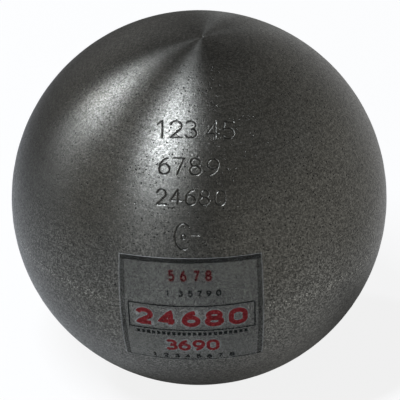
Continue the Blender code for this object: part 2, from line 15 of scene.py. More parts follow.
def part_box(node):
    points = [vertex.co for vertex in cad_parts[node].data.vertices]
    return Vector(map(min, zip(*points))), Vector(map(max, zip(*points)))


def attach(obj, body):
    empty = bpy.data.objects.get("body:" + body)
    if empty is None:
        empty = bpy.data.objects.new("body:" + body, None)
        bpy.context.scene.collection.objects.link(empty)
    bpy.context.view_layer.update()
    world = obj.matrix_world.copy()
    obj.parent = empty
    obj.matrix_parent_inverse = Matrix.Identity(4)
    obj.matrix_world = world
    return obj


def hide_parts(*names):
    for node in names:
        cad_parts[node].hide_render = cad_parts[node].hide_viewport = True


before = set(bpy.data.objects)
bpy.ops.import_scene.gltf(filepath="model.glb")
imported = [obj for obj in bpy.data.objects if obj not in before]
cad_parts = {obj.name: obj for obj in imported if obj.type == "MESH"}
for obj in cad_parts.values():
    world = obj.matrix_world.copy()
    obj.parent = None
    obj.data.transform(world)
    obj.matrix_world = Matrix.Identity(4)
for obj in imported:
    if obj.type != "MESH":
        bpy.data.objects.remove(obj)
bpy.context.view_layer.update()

bl_info = {
    "name": "Hammer head",
    "version": (1, 0, 0),
    "blender": (4, 5, 0),
    "location": "View3D > Sidebar > Hammer head",
    "description": "Builds the surfaces and finishes of a throwing hammer's head",
    "category": "Add Mesh",
}

MM = 0.001

# Ball, read from the frame
HEAD_LOW, HEAD_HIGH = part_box("head_shell")
HEAD_RADIUS = round((HEAD_HIGH.x - HEAD_LOW.x) / 2, 4)
HEAD_CENTRE = HEAD_HIGH.z - HEAD_RADIUS
FOOT_RADIUS = math.sqrt(HEAD_RADIUS**2 - HEAD_CENTRE**2)
FIT_GAP = 0.3 * MM
BORE_RADIUS = round(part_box("swivel_housing")[1].x, 4) + FIT_GAP
BORE_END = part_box("core_plate")[1].z + FIT_GAP
BORE_CHAMFER = 0.6 * MM
NECK_RADIUS = 10 * MM
CORE_FLOOR = BORE_END + 5 * MM
CORE_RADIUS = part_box("lead_core")[1].z + FIT_GAP - HEAD_CENTRE
EDGE_ROUND = 0.2 * MM
DOME_POINTS = 24

# Fineness of the ball's grid: fine rows on bands of latitude, fine columns in a window on the stamps
FINE_STEP = 0.17 * MM
COARSE_STEP = 3.5 * MM
STEP_GROWTH = 0.2
TABLE_POINTS = 40001
WINDOW_MIDDLE = -1.9 * MM
WINDOW_HALF = 13.0 * MM
WINDOW_LATITUDE = math.radians(31.5)
WINDOW_TOP = math.radians(58)
WINDOW_BOTTOM = math.radians(12)

# Stamps, all struck from one side. Their places, in mm, are to the right of and above the point where
# that side's direction meets the ball: the numbers, their height there, their places, height and width
STAMP_LATITUDE = math.radians(31.8)
STAMP_ROWS = (
    ("12345", 21.45, (-12.2, -7.6, -2.9, 3.9, 8.8), 5.3, 3.7),
    ("6789", 9.7, (-11.1, -6.6, -1.3, 4.2), 5.1, 3.5),
    ("24680", 0.0, (-11.9, -7.4, -2.7, 1.6, 6.6), 4.7, 3.1),
)
POINT_STAMP = (-10.6, -2.2)
RING_STAMP = (-4.8, -12.4)
RING_WIDTH = 5.4
RING_HEIGHT = 8.2
RING_ENDS = (50, 300)
DASH_PATH = ((-2.25, -11.9), (0.05, -11.9))
DASH_WIDTH = 1.1 * MM
DASH_DEPTH = 0.36 * MM
STAMP_MARGIN = 2 * MM
BAND_MARGIN = 0.6 * MM

# Seam where two turning cuts met, and the mark of the lathe's centre
SEAM_LATITUDE = math.radians(-4.5)
SEAM_HEIGHT = SEAM_LATITUDE * HEAD_RADIUS
SEAM_HALF = 0.35 * MM
SEAM_DEPTH = 0.03 * MM
CENTRE_MARK_RADIUS = 1.0 * MM
CENTRE_MARK_DEPTH = 0.3 * MM

# Film in the frame's place, and its print; places on it are to the right of and above its middle. Its
# drawn top edge reaches a little higher than half its height.
FILM_WIDTH = 46.9 * MM
FILM_HEIGHT = 41.0 * MM
FILM_TOP = 21.0 * MM
FILM_BOTTOM = -20.5 * MM
FILM_BOW = 0.6 * MM
BOW_START = 0.6
FILM_LONGITUDE = math.radians(-1.7)
FILM_LATITUDE = math.radians(-7.5)
FILM_TILT = math.radians(2.5)
FILM_STEP = 0.35 * MM
# Width of the painted highlight along the film's edge
EDGE_HIGHLIGHT_WIDTH = 1.5 * FILM_STEP
HALO_WIDTH = 0.9 * MM
CREASE_START = 0.8
CREASE_DEPTH = 0.05 * MM
CREASE_LENGTHS = (3.1 * MM, 5.3 * MM, 7.7 * MM)
CREASE_BEND = 1.3
CREASE_SHIFT = 0.8
CREASE_LEVEL = 0.6
CREASE_SWING = 0.4
PRINT_LIFT = 0.015 * MM
PRINT_THICKNESS = 0.02 * MM
PRINT_STEP = 0.9 * MM
FRAME_BAND = 1.5 * MM
FRAME_MARGIN = 0.45 * MM
TOP_MARGIN = 0.15 * MM
LINE_WIDTH = 0.4 * MM
BOTTOM_LINE_WIDTH = 0.3 * MM
BOX_CORNERS = (-20.4 * MM, -5.4 * MM, 20.4 * MM, 4.5 * MM)

# Printed rows, in mm: the numbers, their height above the film's middle, their places, height, width,
# stroke and ink. The row of ticks: height, first and last place, count, length and width
PRINT_ROWS = (
    ("5678", 15.4, (-6.0, -2.15, 1.95, 5.85), 2.9, 1.5, 0.65, "red"),
    ("135790", 9.3, (-7.3, -3.2, -0.05, 2.8, 5.8, 8.9), 1.8, 1.2, 0.45, "black"),
    ("24680", -0.45, (-15.3, -7.65, -0.1, 7.3, 14.95), 5.1, 4.5, 1.65, "red"),
    ("3690", -12.45, (-7.0, -2.7, 1.95, 6.6), 4.3, 3.1, 1.15, "red"),
    ("12345678", -18.2, (-12.9, -9.1, -5.45, -1.85, 1.75, 5.3, 8.9, 12.85), 1.6, 1.3, 0.5, "black"),
)
TICK_ROW = (-7.0, -17.5, 17.4, 22, 1.05, 1.35)

# Core and swivel: what their pieces' boxes don't give. The seal's lip is in mm out from its bore and
# thirds of its height
DIMPLE_RADIUS = 9 * MM
DIMPLE_DEPTH = 1.2 * MM
RIPPLE_DEPTH = 0.1 * MM
RIPPLE_RISES = (1.7 * MM, 2.3 * MM)
RIPPLE_FADE = 12 * MM
CORE_EDGE = 0.6 * MM
CORE_STEP = 1.5 * MM
CORE_POINTS = 60
RUNNING_GAP = 0.15 * MM
SHAFT_RADIUS = 5.0 * MM
SHAFT_STEP = 0.25 * MM
COLLAR_THICKNESS = 2.3 * MM
EYE_HOLE_RADIUS = 3.75 * MM
EYE_RADIUS = 6.5 * MM
EYE_THICKNESS = 7.0 * MM
EYE_EDGE = 1.2 * MM
EYE_STEP = 0.6 * MM
EYE_SECTIONS = 128
COTTER_HOLE_RADIUS = 1.4 * MM
COTTER_HOLE_END = 0.2 * MM
NUT_SLOT_DEPTH = 3.0 * MM
BUSH_WALL = 1.85 * MM
GROOVE_DEPTH = 0.25 * MM
GROOVE_SHARPNESS = 120
END_WALL = 6.0 * MM
SEAL_LIP = ((1.4, 0.0), (1.0, 0.8), (0.0, 0.2), (0.0, 1.0), (0.5, 1.6), (0.5, 3.0))
RACE_DEPTH = 0.6 * MM
RACE_POINTS = 15
LOWER_RACE_GAP = 0.5 * MM
BALL_COUNT = 9
BALL_POINTS = 25
SOCKET_DEPTH = 1.5 * MM
SOCKET_RADIUS = 0.65 * MM
SCREW_CUP = 0.25 * MM
SCREW_EDGE = 0.08 * MM
TURNED_COLUMNS = 96
SMALL_COLUMNS = 48
TURNED_STEP = 0.3 * MM
SHARP_ANGLE = math.radians(50)
PRINT_SHARP_ANGLE = math.radians(40)

# Limits: what counts as touching; the least divisor and length; the largest share of a side that an eased
# corner takes, and how far past its ends one more point lies; the least cosine that a mitre is divided by
TOUCHING = 0.01 * MM
GUARD = 1e-6
LARGEST_EASE = 0.38
EASE_BEYOND = 0.3
SHARPEST_MITRE = 0.6

# Finishes of the inner pieces: colour, second colour in patches, roughness, metallic, spacing and length
# of the turning marks, size of the grain and depth of both, the last four in mm
FINISHES = {
    "lead": ((0.16, 0.17, 0.19), (0.24, 0.24, 0.25), 0.58, 1.0, 1.6, 1.6, 1.6, 0.08),
    "machined_steel": ((0.42, 0.43, 0.44), (0.30, 0.30, 0.30), 0.33, 1.0, 0.30, 10.0, 0.8, 0.02),
    "black_steel": ((0.030, 0.030, 0.032), (0.075, 0.070, 0.065), 0.50, 1.0, 0.35, 3.0, 0.5, 0.02),
    "bearing_steel": ((0.58, 0.59, 0.60), (0.48, 0.49, 0.50), 0.17, 1.0, 0.12, 10.0, 0.4, 0.002),
    "bronze": ((0.50, 0.30, 0.12), (0.36, 0.20, 0.09), 0.34, 1.0, 0.25, 10.0, 0.6, 0.01),
    "cage_brass": ((0.62, 0.45, 0.16), (0.45, 0.31, 0.11), 0.38, 1.0, 0.20, 10.0, 0.5, 0.01),
    "seal_rubber": ((0.020, 0.020, 0.020), (0.050, 0.048, 0.045), 0.80, 0.0, 0.50, 0.5, 0.3, 0.02),
}
CAD_FINISHES = {
    "lock_ring": "black_steel", "ball_cage": "cage_brass", "castle_nut": "black_steel",
    "cotter_pin": "bearing_steel",
}
# Whitish ground round the large print, also the colour of the painted highlight along the film's edge
HALO_AND_EDGE_HIGHLIGHT_COLOUR = (0.55, 0.56, 0.55, 1.0)

# Strokes of the ten digits on a unit square: points, and bows as (middle, half axes, from, to), with
# the step along a bow in degrees
DIGIT_STEP = 12.0
DIGIT_STROKES = {
    "0": [[(0.5, 0.66, 0.5, 0.34, 0, 180), (0.5, 0.34, 0.5, 0.34, 180, 360), (1.0, 0.66)]],
    "1": [[(0.12, 0.76), (0.55, 1.0), (0.55, 0.0)]],
    "2": [[(0.5, 0.69, 0.47, 0.31, 165, -35), (0.03, 0.0), (1.0, 0.0)]],
    "3": [[(0.48, 0.75, 0.42, 0.25, 150, -80), (0.48, 0.27, 0.5, 0.27, 80, -150)]],
    "4": [[(0.72, 0.0), (0.72, 1.0), (0.0, 0.28), (1.0, 0.28)]],
    "5": [[(0.92, 1.0), (0.16, 1.0), (0.08, 0.53), (0.47, 0.32, 0.5, 0.32, 130, -150)]],
    "6": [[(0.95, 0.31, 0.93, 0.69, 100, 180), (0.5, 0.31, 0.48, 0.31, 180, 540)]],
    "7": [[(0.02, 1.0), (1.0, 1.0), (0.35, 0.0)]],
    "8": [[(0.5, 0.76, 0.42, 0.24, 0, 360)], [(0.5, 0.27, 0.5, 0.27, 0, 360)]],
    "9": [[(0.05, 0.69, 0.93, 0.69, -80, 0), (0.5, 0.69, 0.48, 0.31, 0, 360)]],
}

# Stage: the floor; the lamps by direction, width, height and colour; the ball's radius and middle in the
# frame's pixels
FLOOR_HALF = 3.0
LAMP_DISTANCE = 1.5
LAMPS = {
    "back_lamp": ((-0.690, 0.405, 0.63), 0.04, 0.3, (0.86, 0.91, 1.0)),
    "top_lamp": ((-0.310, -0.290, 0.905), 0.13, 0.6, (0.84, 0.90, 1.0)),
}
FRAME_PIXELS = 400
BALL_PIXELS = 187.5
BALL_PLACE = (199.16, 197.55)
SENSOR_MM = 36.0
CLIP_END = 100.0

LENGTH = {"unit": "LENGTH", "precision": 5}
COLOUR = {"subtype": "COLOR", "min": 0, "max": 1}


class HeadSizes(bpy.types.PropertyGroup):
    """Sizes that the ball's and the film's surfaces are worked out from."""

    stamp_width: FloatProperty(
        name="Stamp width", description="Width of a stamped stroke", default=0.66 * MM, **LENGTH)
    stamp_depth: FloatProperty(
        name="Stamp depth", description="Depth of a stamped stroke", default=0.24 * MM, **LENGTH)
    stamp_burr: FloatProperty(
        name="Stamp burr", description="Height of the metal beside a stroke", default=0.025 * MM, **LENGTH)
    film_lift: FloatProperty(
        name="Film lift", description="Gap between ball and film", default=0.06 * MM, **LENGTH)
    film_thickness: FloatProperty(
        name="Film thickness", description="Thickness of the film", default=0.15 * MM, **LENGTH)


class SwivelSizes(bpy.types.PropertyGroup):
    """Sizes of the swivel's fine shapes."""

    shaft_pitch: FloatProperty(
        name="Spindle pitch", description="Pitch of the spindle's thread", default=1.5 * MM, **LENGTH)
    housing_pitch: FloatProperty(
        name="Housing pitch", description="Pitch of the housing's thread", default=2.0 * MM, **LENGTH)
    screw_pitch: FloatProperty(
        name="Set screw pitch", description="Pitch of the set screws' thread", default=0.5 * MM, **LENGTH)
    thread_share: FloatProperty(
        name="Thread depth", description="Depth of a thread over its pitch", default=0.5, min=0, max=0.6)
    edge: FloatProperty(
        name="Edge", description="Size of the rounding of turned edges", default=0.35 * MM, **LENGTH)


class HeadFinishes(bpy.types.PropertyGroup):
    """Colours of the finishes."""

    iron: FloatVectorProperty(
        name="Iron", description="Turned cast iron", default=(0.113, 0.111, 0.100), **COLOUR)
    iron_warm: FloatVectorProperty(
        name="Iron, stained", description="Stained cast iron", default=(0.102, 0.099, 0.087), **COLOUR)
    pit: FloatVectorProperty(
        name="Pore", description="Open pores and stamped strokes", default=(0.010, 0.010, 0.010), **COLOUR)
    film: FloatVectorProperty(
        name="Film", description="Clear film's own tint", default=(0.157, 0.157, 0.137), **COLOUR)
    red_ink: FloatVectorProperty(
        name="Red ink", description="Red print on the film", default=(0.160, 0.016, 0.018), **COLOUR)
    black_ink: FloatVectorProperty(
        name="Black ink", description="Black print on the film", default=(0.012, 0.013, 0.013), **COLOUR)


class StageSettings(bpy.types.PropertyGroup):
    """Camera, lamps and surroundings."""

    elevation: FloatProperty(
        name="Camera elevation", description="Height of the camera's line of sight above the floor",
        default=math.radians(31.8), subtype="ANGLE")
    roll: FloatProperty(
        name="Camera roll", description="Turn of the camera about its line of sight",
        default=math.radians(1.05), subtype="ANGLE")
    distance: FloatProperty(
        name="Camera distance", description="From the camera to the ball's middle", default=4.0, **LENGTH)
    back_lamp: FloatProperty(
        name="Back lamp", description="Lamp behind on the left", default=10.0, unit="POWER")
    top_lamp: FloatProperty(
        name="Top lamp", description="Lamp above on the left", default=22.8, unit="POWER")
    surround: FloatProperty(
        name="Surround", description="Strength of the surroundings' soft light", default=0.35, min=0)
    ceiling: FloatProperty(
        name="Ceiling", description="Brightness of the ceiling in reflections, where the horizon is 1",
        default=0.31, min=0, max=1)


def joined(*parts):
    """Numbers or arrays put side by side along a new last axis."""
    return np.stack(np.broadcast_arrays(*parts), axis=-1)


def smooth_step(value):
    """0 below 0, 1 above 1 and 3 v squared minus 2 v cubed between."""
    value = np.clip(value, 0.0, 1.0)
    return value * value * (3.0 - 2.0 * value)


def cosine_step(distance, half):
    """Cosine squared, from 1 at distance 0 to 0 at the half width and beyond."""
    return np.cos(np.pi / 2 * np.minimum(distance / half, 1.0)) ** 2


def spaced(start, end, spacing):
    """Places from start to end whose distances follow a spacing function.

    The number of steps is the integral of 1 over the spacing, rounded up, and each place is read
    back from that integral.
    """
    table = np.linspace(start, end, TABLE_POINTS)
    density = 1.0 / spacing(table)
    total = np.concatenate([[0.0], np.cumsum((density[1:] + density[:-1]) / 2 * np.diff(table))])
    total = np.abs(total)
    return np.interp(np.linspace(0.0, total[-1], int(np.ceil(total[-1])) + 1), total, table)


def grid_faces(index, join_rows, join_columns):
    """Quads between neighbouring rows and columns of a grid of vertex numbers."""
    if join_rows:
        index = np.vstack([index, index[:1]])
    if join_columns:
        index = np.hstack([index, index[:, :1]])
    return joined(index[:-1, :-1], index[1:, :-1], index[1:, 1:], index[:-1, 1:]).reshape(-1, 4)


def make_mesh(name, points, quads, triangles=None):
    """A smooth mesh from arrays of points, quads and triangles."""
    triangles = np.zeros((0, 3), int) if triangles is None else triangles
    corners = np.concatenate([quads.ravel(), triangles.ravel()]).astype(np.int32)
    starts = np.cumsum([0] + [4] * len(quads) + [3] * len(triangles))[:-1].astype(np.int32)
    mesh = bpy.data.meshes.new(name)
    mesh.vertices.add(len(points))
    mesh.vertices.foreach_set("co", np.asarray(points, np.float32).ravel())
    mesh.loops.add(len(corners))
    mesh.loops.foreach_set("vertex_index", corners)
    mesh.polygons.add(len(starts))
    mesh.polygons.foreach_set("loop_start", starts)
    mesh.update(calc_edges=True)
    mesh.validate()
    mesh.shade_smooth()
    return mesh


def ring_mesh(name, grid):
    """A closed mesh over a grid of points whose last row and column join the first ones."""
    index = np.arange(grid.shape[0] * grid.shape[1]).reshape(grid.shape[:2])
    return make_mesh(name, grid.reshape(-1, 3), grid_faces(index, True, True))


def turned_mesh(name, grid):
    """A closed mesh over rows of points round an upright axis, which run down the outside.

    Where the first and the last row are one point each, they become poles with a fan of triangles.
    Otherwise the last row joins the first one.
    """
    if np.ptp(grid[0], axis=0).max() > 0:
        return ring_mesh(name, grid)
    points = np.vstack([grid[:1, 0], grid[1:-1].reshape(-1, 3), grid[-1:, 0]])
    index = np.arange(1, len(points) - 1).reshape(-1, grid.shape[1])
    top, bottom = index[0], index[-1]
    fans = [joined(0, top, np.roll(top, -1)), joined(len(points) - 1, np.roll(bottom, -1), bottom)]
    return make_mesh(name, points, grid_faces(index, False, True), np.vstack(fans))


def rounded(corners, radius, steps=4, closed=False):
    """A profile whose corners are eased.

    Each corner gives way to the quadratic curve between the points a radius before and after it, or
    nearer where its sides are short, and one more point lies a little past each end of the curve.
    """
    corners = np.asarray(corners, float)
    here = corners if closed else corners[1:-1]
    share = np.concatenate([[-EASE_BEYOND], np.linspace(0.0, 1.0, steps + 1), [1 + EASE_BEYOND]])[:, None]
    inward = np.where(share < 0, 1 - share, (1 - np.clip(share, 0, 1)) ** 2)
    outward = np.where(share > 1, share, np.clip(share, 0, 1) ** 2)
    eased = here[:, None]
    for shift, weight in ((1, inward), (-1, outward)):
        side = np.roll(corners, shift, axis=0)
        side = (side if closed else side[1:-1]) - here
        reach = np.minimum(radius / np.linalg.norm(side, axis=1), LARGEST_EASE)[:, None, None]
        eased = eased + side[:, None] * reach * weight
    points = eased.reshape(-1, 2)
    return points if closed else np.vstack([corners[:1], points, corners[-1:]])


def ellipse(middle_x, middle_y, half_x, half_y, angle):
    """Points of an ellipse at some angles."""
    return joined(middle_x + half_x * np.cos(angle), middle_y + half_y * np.sin(angle))


def bow(middle_x, middle_y, half_x, half_y, start, end):
    """Points of an elliptic bow, both ends included; angles in degrees."""
    count = max(2, math.ceil(abs(end - start) / DIGIT_STEP) + 1)
    return ellipse(middle_x, middle_y, half_x, half_y, np.radians(np.linspace(start, end, count)))


def row_paths(numbers, up, places, height, width):
    """Every stroke of a row of digits as a path in metres; its places and sizes are in mm."""
    paths = []
    for digit, across in zip(numbers, places):
        for stroke in DIGIT_STROKES[digit]:
            parts = [bow(*part) if len(part) > 2 else np.array([part]) for part in stroke]
            paths.append(((np.concatenate(parts) - 0.5) * (width, height) + (across, up)) * MM)
    return paths


def path_distance(x, y, path):
    """Least distance from each point to the straight pieces of a path.

    For each piece, the point's foot on it is clamped to its ends.
    """
    nearest = np.full(x.shape, np.inf)
    for start, end in zip(path[:-1], path[1:]):
        run = end - start
        length = max(float(run @ run), GUARD**2)
        foot = np.clip(((x - start[0]) * run[0] + (y - start[1]) * run[1]) / length, 0.0, 1.0)
        away = np.hypot(x - start[0] - foot * run[0], y - start[1] - foot * run[1])
        nearest = np.minimum(nearest, away)
    return nearest


def stamped_paths():
    """The path of every stamped stroke in the plane that the stamps were struck against."""
    ring = bow(*RING_STAMP, RING_WIDTH / 2, RING_HEIGHT / 2, *RING_ENDS)
    inner_ring = bow(*RING_STAMP, RING_WIDTH / 8, RING_WIDTH / 8, 0, 360)
    figures = [np.array([POINT_STAMP, POINT_STAMP]) * MM, ring * MM, inner_ring * MM]
    return [path for row in STAMP_ROWS for path in row_paths(*row)] + figures


def stroke_distance(latitude, longitude, paths):
    """Distance from each point to the nearest of some stamped paths, seen from the struck side.

    There, a point of the ball lies R cos(latitude) sin(longitude) to the right of the middle, and R
    (sin(latitude) cos(stamp latitude) - cos(latitude) sin(stamp latitude) cos(longitude)) above it.
    """
    front = np.cos(latitude) * np.cos(longitude)
    x = HEAD_RADIUS * np.cos(latitude) * np.sin(longitude)
    y = HEAD_RADIUS * (np.sin(latitude) * math.cos(STAMP_LATITUDE) - front * math.sin(STAMP_LATITUDE))
    facing = np.sin(latitude) * math.sin(STAMP_LATITUDE) + front * math.cos(STAMP_LATITUDE) > 0
    nearest = np.full(latitude.shape, 1.0)
    for path in paths:
        low, high = path.min(axis=0) - STAMP_MARGIN, path.max(axis=0) + STAMP_MARGIN
        near = facing & (x > low[0]) & (x < high[0]) & (y > low[1]) & (y < high[1])
        nearest[near] = np.minimum(nearest[near], path_distance(x[near], y[near], path))
    return nearest


def row_spacing(arc):
    """Spacing of the ball's rows by arc above its equator.

    It is fine on the stamped rows, the seam and the lathe's centre mark, and grows in proportion to
    the distance from them, up to the coarse step.
    """
    bands = [(SEAM_HEIGHT, 0.0), (math.pi / 2 * HEAD_RADIUS, CENTRE_MARK_RADIUS)]
    for up, height in [(row[1], row[3]) for row in STAMP_ROWS] + [(RING_STAMP[1], RING_HEIGHT)]:
        rise = math.asin(up * MM / HEAD_RADIUS)
        bands.append(((STAMP_LATITUDE + rise) * HEAD_RADIUS, height * MM / 2 / math.cos(rise)))
    away = [np.maximum(np.abs(arc - middle) - half - BAND_MARGIN, 0.0) for middle, half in bands]
    return np.minimum(FINE_STEP + STEP_GROWTH * np.min(away, axis=0), COARSE_STEP)


def column_spacing(arc):
    """Spacing of the ball's columns: fine in the window, and growing away from it like the rows'."""
    away = np.maximum(np.abs(arc - WINDOW_MIDDLE) - WINDOW_HALF, 0.0)
    return np.minimum(FINE_STEP + STEP_GROWTH * away, COARSE_STEP)


def ball_longitudes(latitude):
    """Longitudes of the points of each row, from -180 degrees on.

    They are spaced at the window's middle latitude. Each is stretched by cos(window latitude) over
    cos(latitude), so that the fine window stays equally wide along its rows, and the stretch fades
    out round the back.
    """
    window_radius = HEAD_RADIUS * math.cos(WINDOW_LATITUDE)
    columns = spaced(-math.pi * window_radius, math.pi * window_radius, column_spacing)[:-1] / window_radius
    stretch = np.cos(WINDOW_LATITUDE) / np.cos(np.clip(latitude, WINDOW_BOTTOM, WINDOW_TOP))
    fade = np.clip(np.abs(columns) / np.pi, 0.0, 1.0)
    return columns * (stretch + (1.0 - stretch) * fade)


def ball_relief(latitude, longitude, sizes):
    """Height of the surface over the sphere, and how deep in a stroke each point lies, from 0 to 1.

    A stroke's cross-section is a wave of cosine squared with a bell-shaped burr on either side, the
    seam is such a wave along its latitude, and the centre mark is a cone round the pole.
    """
    away = stroke_distance(latitude, longitude, stamped_paths())
    half = sizes.stamp_width / 2
    struck = cosine_step(away, half)
    height = sizes.stamp_burr * np.exp(-(((away - half) / (half / 2)) ** 2)) - sizes.stamp_depth * struck
    from_dash = stroke_distance(latitude, longitude, [np.array(DASH_PATH) * MM])
    height -= DASH_DEPTH * cosine_step(from_dash, DASH_WIDTH / 2)
    height -= SEAM_DEPTH * cosine_step(np.abs(latitude - SEAM_LATITUDE) * HEAD_RADIUS, SEAM_HALF)
    from_pole = (np.pi / 2 - latitude) * HEAD_RADIUS
    height -= CENTRE_MARK_DEPTH * smooth_step(1.0 - from_pole / CENTRE_MARK_RADIUS)
    return height, struck


def around(reach, longitude, height):
    """Points at a reach from the axis, turned by a longitude from straight in front, at a height."""
    return joined(reach * np.sin(longitude), -reach * np.cos(longitude), height)


def over_ball(lift, latitude, longitude):
    """Points a lift above the ball's sphere."""
    reach = HEAD_RADIUS + lift
    return around(reach * np.cos(latitude), longitude, HEAD_CENTRE + reach * np.sin(latitude))


def ball_grid(sizes):
    """Rows of points over the ball, and the depth of the strokes at each.

    The outside is a sphere by latitude and longitude with its relief along the normal. The foot
    ring, the swivel bore and the lead's cavity follow as a profile turned round the axis.
    """
    foot = -math.asin(HEAD_CENTRE / HEAD_RADIUS)
    latitude = spaced(math.pi / 2 * HEAD_RADIUS, foot * HEAD_RADIUS, row_spacing)[:, None] / HEAD_RADIUS
    longitude = ball_longitudes(latitude)
    latitude = np.broadcast_to(latitude, longitude.shape)
    height, struck = ball_relief(latitude, longitude, sizes)
    outside = over_ball(height, latitude, longitude)
    outside[0, :, :2] = 0.0
    outside[-1, :, 2] = 0.0
    rise = np.linspace(math.asin((CORE_FLOOR - HEAD_CENTRE) / CORE_RADIUS), math.pi / 2, DOME_POINTS)
    dome = ellipse(0.0, HEAD_CENTRE, CORE_RADIUS, CORE_RADIUS, rise)
    corners = [
        (FOOT_RADIUS, 0.0), (BORE_RADIUS + BORE_CHAMFER, 0.0), (BORE_RADIUS, BORE_CHAMFER),
        (BORE_RADIUS, BORE_END), (NECK_RADIUS, BORE_END), (NECK_RADIUS, CORE_FLOOR), dome[0],
    ]
    profile = np.vstack([rounded(corners, EDGE_ROUND)[1:], dome[1:]])
    profile[-1, 0] = 0.0
    inside = around(profile[:, :1], longitude[-1], profile[:, 1:])
    return np.vstack([outside, inside]), np.vstack([struck, np.zeros(inside.shape[:2])])


def add_object(name, data):
    """Puts an object with its mesh, lamp or camera in the scene."""
    new_object = bpy.data.objects.new(name, data)
    bpy.context.scene.collection.objects.link(new_object)
    return new_object


def add_piece(name, mesh, material, body, slot, *replaced):
    """Puts a finished mesh in the scene as a piece that moves with a body."""
    piece = add_object(name, mesh)
    piece.data.materials.append(material)
    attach(piece, body)
    if replaced:
        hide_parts(*replaced)


def lathe(profile, columns, relief=None):
    """Rows of points of a (radius, height) profile turned round the Z axis.

    A relief takes the angle, radius and height of each point, and returns how much nearer to the
    axis the point lies.
    """
    angle = np.arange(columns) * 2 * np.pi / columns
    radius = np.repeat(profile[:, :1], columns, axis=1)
    height = np.repeat(profile[:, 1:], columns, axis=1)
    if relief:
        radius = np.maximum(radius - relief(angle[None, :], radius, height), 0.0)
    return joined(radius * np.cos(angle), radius * np.sin(angle), height)


def fine_path(path, step=PRINT_STEP):
    """A path with more points along its straight pieces, none further apart than a step."""
    parts = [
        np.linspace(start, end, max(2, math.ceil(np.linalg.norm(end - start) / step) + 1))[:-1]
        for start, end in zip(path[:-1], path[1:])
    ]
    return np.vstack([*parts, path[-1:]])


def ring_profile(corners, edge, step, steps=4):
    """A closed profile with eased corners and more points along its straight pieces."""
    profile = rounded(corners, edge, steps, closed=True)
    return fine_path(np.vstack([profile, profile[:1]]), step)[:-1]


def box_corners(inner, outer, low, high):
    """Corners of a ring's section, down its outside and up its bore."""
    return [(outer, high), (outer, low), (inner, low), (inner, high)]


def thread(wall, low, high, pitch, share):
    """Relief of a thread on the wall of one radius.

    The cut's depth is a triangle wave of height over pitch less angle over a full turn, and it fades
    out within one pitch of both ends.
    """
    def relief(angle, radius, height):
        wave = np.abs(2 * np.mod(height / pitch - angle / (2 * np.pi), 1.0) - 1.0)
        fade = smooth_step(np.minimum(height - low, high - height) / pitch)
        return share * pitch * wave * fade * (np.abs(radius - wall) < TOUCHING)
    return relief


def extent(node):
    """Lowest and highest height and outer radius of a CAD node."""
    low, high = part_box(node)
    return low.z, high.z, high.x


def lead_profile():
    """The lead core from its top down: dome, floor and neck, with a shrinkage dimple on its top."""
    radius = CORE_RADIUS - FIT_GAP
    floor = CORE_FLOOR + FIT_GAP
    angle = np.linspace(math.pi / 2, math.asin((floor - HEAD_CENTRE) / radius), CORE_POINTS)
    dome = ellipse(0.0, HEAD_CENTRE, radius, radius, angle)
    dome[:, 1] -= DIMPLE_DEPTH * smooth_step(1.0 - dome[:, 0] / DIMPLE_RADIUS)
    dome[0, 0] = 0.0
    neck = NECK_RADIUS - FIT_GAP
    corners = np.vstack([dome[-2:], [(neck, floor), (neck, BORE_END), (0.0, BORE_END)]])
    return fine_path(np.vstack([dome[:-2], rounded(corners, CORE_EDGE)]), CORE_STEP)


def lead_relief(angle, radius, height):
    """Ripples of the cast lead: the product of two slanting sines, which only takes away from it."""
    first, second = RIPPLE_RISES
    ripple = np.sin(7 * angle + height / first) * np.sin(5 * angle - height / second)
    return RIPPLE_DEPTH * (1.0 + ripple) * smooth_step(radius / RIPPLE_FADE)


def housing_profile(edge):
    """The cup's closed profile: down its threaded outside, over its end wall and up its chamber."""
    low, high, _ = extent("swivel_housing")
    wall = BORE_RADIUS - FIT_GAP
    seat = extent("housing_washer")[2] + FIT_GAP
    bush = SHAFT_RADIUS + RUNNING_GAP + BUSH_WALL + FIT_GAP
    chamber = [(bush, low + END_WALL), (seat, low + END_WALL), (seat, high)]
    return ring_profile([(wall, high), (wall, low), (bush, low), *chamber], edge, TURNED_STEP)


def bush_relief(angle, radius, height):
    """Two crossed oil grooves in the bush's bore, as wide as a high power of a cosine of their bows."""
    low, high, _ = extent("guide_bush")
    turn = 2 * np.pi * (height - low) / (high - low)
    grooves = [np.maximum(np.cos((angle - side * turn) / 2), 0.0) ** GROOVE_SHARPNESS for side in (-1, 1)]
    return -GROOVE_DEPTH * np.maximum(*grooves) * (radius < SHAFT_RADIUS + RUNNING_GAP + TOUCHING)


def seal_profile(edge):
    """The seal's closed profile: a flat flange outside and a lip with a groove behind it inside."""
    low, high, outer = extent("dust_seal")
    inner = SHAFT_RADIUS + RUNNING_GAP
    lip = [(inner + out * MM, low + up * (high - low) / 3) for out, up in SEAL_LIP]
    return rounded([(outer, high), (outer, low), *lip], edge, closed=True)


def race_profile(node, bore, edge, side):
    """A bearing washer's closed profile, with its groove on its top or bottom.

    The groove is an arc about the balls' middle.
    """
    low, high, outer = extent(node)
    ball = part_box("ball_01")
    pitch_radius = (ball[0].x + ball[1].x) / 2
    groove = (ball[1].z - ball[0].z) / 2 + RUNNING_GAP
    spread = math.acos((groove - RACE_DEPTH) / groove)
    angle = np.linspace(-spread, spread, RACE_POINTS)
    face = high if side > 0 else low
    depth = groove * np.cos(angle) - (groove - RACE_DEPTH)
    arc = joined(pitch_radius + groove * np.sin(angle), face - side * depth)
    turned = box_corners(bore, outer, low, high)
    if side < 0:
        arc, turned = arc[::-1], turned[2:] + turned[:2]
    return np.vstack([arc, rounded([arc[-1], *turned, arc[0]], edge)[1:-1]])


